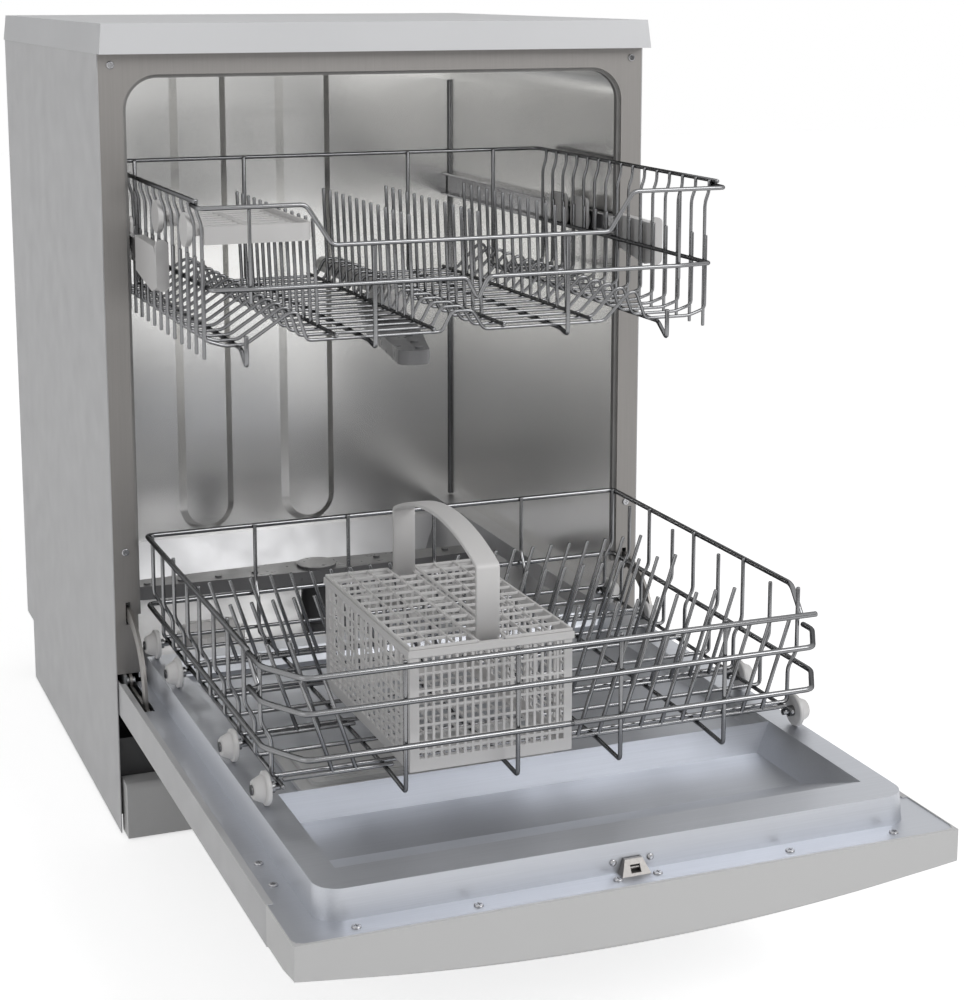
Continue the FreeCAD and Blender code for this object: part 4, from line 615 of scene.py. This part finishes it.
cutlery += [lattice(long_y, long_z, x, x + CUT_WALL, FACING_X) for x in (CUT_X0, CUT_X1 - CUT_WALL)]
cutlery += [lattice(floor_x, floor_y, CUT_LOW, CUT_LOW + CUT_WALL, FACING_Z)]
cutlery += [lattice(rim_x, rim_y, CUT_RIM_LOW, CUT_TOP, FACING_Z)]
strip_x = lines(CUT_MID - STRIP_HALF, CUT_MID + STRIP_HALF, STRIP_COLUMNS)
strip_y = lines(CUT_Y0 + CUT_WALL, CUT_Y1 - CUT_WALL, LID_ROWS)
cutlery += [lattice(strip_x, strip_y, CUT_TOP - STRIP_THICK, CUT_TOP, FACING_Z)]


def slab(count, power):
    """A rounded rectangle within -1 to 1: |a|^p + |b|^p = 1."""
    ring = circle(count)
    return np.sign(ring) * np.abs(ring) ** (2 / power)


HANDLE_HALF, HANDLE_THICK, HANDLE_RISE = 11.0, 4.0, 22.0
HANDLE_LOW, HANDLE_TOP, HANDLE_BEND, LEG_INSET = 394.0, 416.0, 5.0, 11.0
HANDLE_SIDES, HANDLE_POWER = 28, 7.0
ARCH_STEPS, ARCH_SHARE = 21, 0.94
middle_y, leg_y = (CUT_Y0 + CUT_Y1) / 2, (CUT_Y1 - CUT_Y0) / 2 - LEG_INSET
arch_r = (leg_y ** 2 + HANDLE_RISE ** 2) / (2 * HANDLE_RISE)
arch_angle = np.linspace(-ARCH_SHARE, ARCH_SHARE, ARCH_STEPS) * math.asin(leg_y / arch_r)
arch = np.column_stack([np.full(ARCH_STEPS, CUT_MID), middle_y + arch_r * np.sin(arch_angle),
                        HANDLE_TOP - arch_r + arch_r * np.cos(arch_angle)])
leg_levels = (CUT_TOP - STRIP_THICK, HANDLE_LOW)
front_leg, rear_leg = [[(CUT_MID, middle_y + side * leg_y, z) for z in leg_levels] for side in (-1, 1)]
handle_path = bent(metres(np.concatenate([front_leg, arch, rear_leg[::-1]])), HANDLE_BEND * MM)
section = slab(HANDLE_SIDES, HANDLE_POWER) * (HANDLE_HALF * MM, HANDLE_THICK / 2 * MM)
handle = swept(handle_path, section, np.array((1.0, 0.0, 0.0)), np.ones(len(handle_path)))
basket = piece("cutlery_grids", cutlery, grey_plastic, "cutlery_basket", "grey_plastic", "cutlery_basket",
               smooth=False)
piece("cutlery_handle", [handle], grey_plastic, "cutlery_basket", "grey_plastic")


EDGE_WIDTH = 0.0003


def soften(made):
    """Takes the sharpness off moulded edges."""
    bevel = made.modifiers.new("Soft edges", "BEVEL")
    bevel.width = EDGE_WIDTH
    bevel.segments = 1
    bevel.limit_method = "ANGLE"


soften(basket)

# Cutlery lids: two thin grids of the same plastic over the basket's halves.
# Each has a round edge that turns beside the middle bar.
LID_LOW, LID_THICK, LID_HINGE, LID_OUT = 330.3, 2.5, 13.25, 76.0
LID_COLUMNS = [1.6] + [19.0, 2.0] * 2 + [19.0, 2.6]
for side_name, side in (("left", -1), ("right", 1)):
    edges = np.sort(CUT_MID + side * lines(LID_HINGE, LID_OUT, LID_COLUMNS))
    grid = lattice(edges, lines(CUT_Y0, CUT_Y1, LID_ROWS), LID_LOW, LID_LOW + LID_THICK, FACING_Z)
    hinge_x, hinge_z = CUT_MID + side * LID_HINGE, LID_LOW + LID_THICK / 2
    barrel = straight((hinge_x, CUT_Y0, hinge_z), (hinge_x, CUT_Y1, hinge_z), LID_THICK / 2)
    body = "cutlery_lid_" + side_name
    lid = piece("cutlery_lid_grid_" + side_name, [grid, barrel], grey_plastic, body, "grey_plastic", body,
                smooth=False)
    soften(lid)

# Floor: a plain matt white studio floor that the machine stands on.
# It glows a little where it is seen, so that it runs into the white room and keeps the soft shadow.
FLOOR_HALF = 9.0
FLOOR_WHITE = (0.82, 0.82, 0.82, 1.0)
FLOOR_GLOW = 0.70
FLOOR_ROUGH = 0.9
WHITE = (1, 1, 1, 1)


def worked(tree, operation, first, second):
    """A Math node on a link and on a link or a number."""
    made = tree.nodes.new("ShaderNodeMath")
    made.operation = operation
    tree.links.new(first, made.inputs[0])
    if isinstance(second, float):
        made.inputs[1].default_value = second
    else:
        tree.links.new(second, made.inputs[1])
    return made.outputs["Value"]


def seen_directly(tree):
    """1 for rays that show a surface as it is: from the camera, a mirror or through glass."""
    ray = tree.nodes.new("ShaderNodeLightPath").outputs
    seen = worked(tree, "MAXIMUM", ray["Is Camera Ray"], ray["Is Glossy Ray"])
    return worked(tree, "MAXIMUM", seen, ray["Is Transmission Ray"])


def scaled(tree, value, by, plus=0.0):
    """A value times a number, plus a number."""
    sum_of = tree.nodes.new("ShaderNodeMath")
    sum_of.operation = "MULTIPLY_ADD"
    sum_of.inputs[1].default_value = by
    sum_of.inputs[2].default_value = plus
    tree.links.new(value, sum_of.inputs[0])
    return sum_of.outputs["Value"]


floor_mesh = bpy.data.meshes.new("floor")
floor_corners = [(x * FLOOR_HALF, y * FLOOR_HALF, 0) for x, y in ((-1, -1), (1, -1), (1, 1), (-1, 1))]
floor_mesh.from_pydata(floor_corners, [], [(0, 1, 2, 3)])
floor = bpy.data.objects.new("floor", floor_mesh)
bpy.context.scene.collection.objects.link(floor)
floor_paint, tree, shader = finish("Studio floor", rough=FLOOR_ROUGH)
shader.inputs["Base Color"].default_value = FLOOR_WHITE
shader.inputs["Emission Color"].default_value = WHITE
tree.links.new(scaled(tree, seen_directly(tree), FLOOR_GLOW), shader.inputs["Emission Strength"])
floor_mesh.materials.append(floor_paint)

# Studio light: a soft even room, one large lamp in front on the right and a weak one on the left.
# The room is white where it is seen and dimmer as a source of light.
# Mirrors also show two dark walls in front, at eye level, on both sides of a white one.
ROOM_LIGHT = 0.32
WALL_DARK = 0.95
WHITE_WALL_X = -0.05
WALL_EDGE = (0.2, 0.3)
WALL_FRONT = (-0.5, -0.75)
WALL_LEVEL = (0.3, 0.12)


def stepped(tree, value, ends):
    """A smooth step from 0 at the first end to 1 at the second."""
    step = tree.nodes.new("ShaderNodeMapRange")
    step.interpolation_type = "SMOOTHSTEP"
    step.inputs["From Min"].default_value, step.inputs["From Max"].default_value = ends
    tree.links.new(value, step.inputs["Value"])
    return step.outputs["Result"]


def dark_walls(tree):
    """1 for mirrored rays that go to a dark wall: beside the white one, in front and at eye level."""
    way = tree.nodes.new("ShaderNodeSeparateXYZ")
    tree.links.new(tree.nodes.new("ShaderNodeTexCoord").outputs["Generated"], way.inputs["Vector"])
    aside = worked(tree, "ABSOLUTE", worked(tree, "SUBTRACT", way.outputs["X"], WHITE_WALL_X), 0.0)
    level = worked(tree, "ABSOLUTE", way.outputs["Z"], 0.0)
    dark = tree.nodes.new("ShaderNodeLightPath").outputs["Is Glossy Ray"]
    for value, ends in ((aside, WALL_EDGE), (way.outputs["Y"], WALL_FRONT), (level, WALL_LEVEL)):
        dark = worked(tree, "MULTIPLY", dark, stepped(tree, value, ends))
    return dark


scene = bpy.context.scene
scene.world = bpy.data.worlds.new("Studio")
scene.world.use_nodes = True
sky = scene.world.node_tree
sky.nodes["Background"].inputs["Color"].default_value = WHITE
shown = scaled(sky, seen_directly(sky), 1 - ROOM_LIGHT, ROOM_LIGHT)
shown = worked(sky, "SUBTRACT", shown, scaled(sky, dark_walls(sky), WALL_DARK))
sky.links.new(shown, sky.nodes["Background"].inputs["Strength"])


LAMP_AIM, LAMP_SIZE = (0, 0, 0.45), 1.8
KEY_PLACE, KEY_WATTS = (1.5, -2.6, 2.3), 48
FILL_PLACE, FILL_WATTS = (-2.6, -1.2, 1.6), 8


def softbox(name, place, watts):
    """A square area lamp that faces the machine."""
    lamp = bpy.data.lights.new(name, "AREA")
    lamp.size = LAMP_SIZE
    lamp.energy = watts
    holder = bpy.data.objects.new(name, lamp)
    scene.collection.objects.link(holder)
    way = np.subtract(LAMP_AIM, place)
    level = math.hypot(way[0], way[1])
    holder.location = place
    holder.rotation_euler = (math.atan2(level, -way[2]), 0, math.atan2(-way[0], way[1]))


softbox("Key", KEY_PLACE, KEY_WATTS)
softbox("Fill", FILL_PLACE, FILL_WATTS)

# Camera: it stands in front on the left, a little above the worktop, with a moderate tele lens.
# The frame is shifted downwards a little, which keeps the machine's uprights steeper.
LENS_PIXELS = 2040.0
IMAGE_HIGH = 1000.0
CAMERA_PLACE = (-0.699, -1.991, 0.887)
CAMERA_TURN = math.radians(21.62)
CAMERA_TILT = math.radians(10.14)
CAMERA_SHIFT = (0.005, -0.15)
SENSOR = 36.0
camera_data = bpy.data.cameras.new("Camera")
camera_data.sensor_width = SENSOR
camera_data.lens = LENS_PIXELS / IMAGE_HIGH * camera_data.sensor_width
camera_data.shift_x, camera_data.shift_y = CAMERA_SHIFT
camera = bpy.data.objects.new("Camera", camera_data)
scene.collection.objects.link(camera)
camera.location = CAMERA_PLACE
camera.rotation_euler = (math.pi / 2 - CAMERA_TILT, 0, -CAMERA_TURN)
scene.camera = camera
scene.view_settings.view_transform = "Standard"
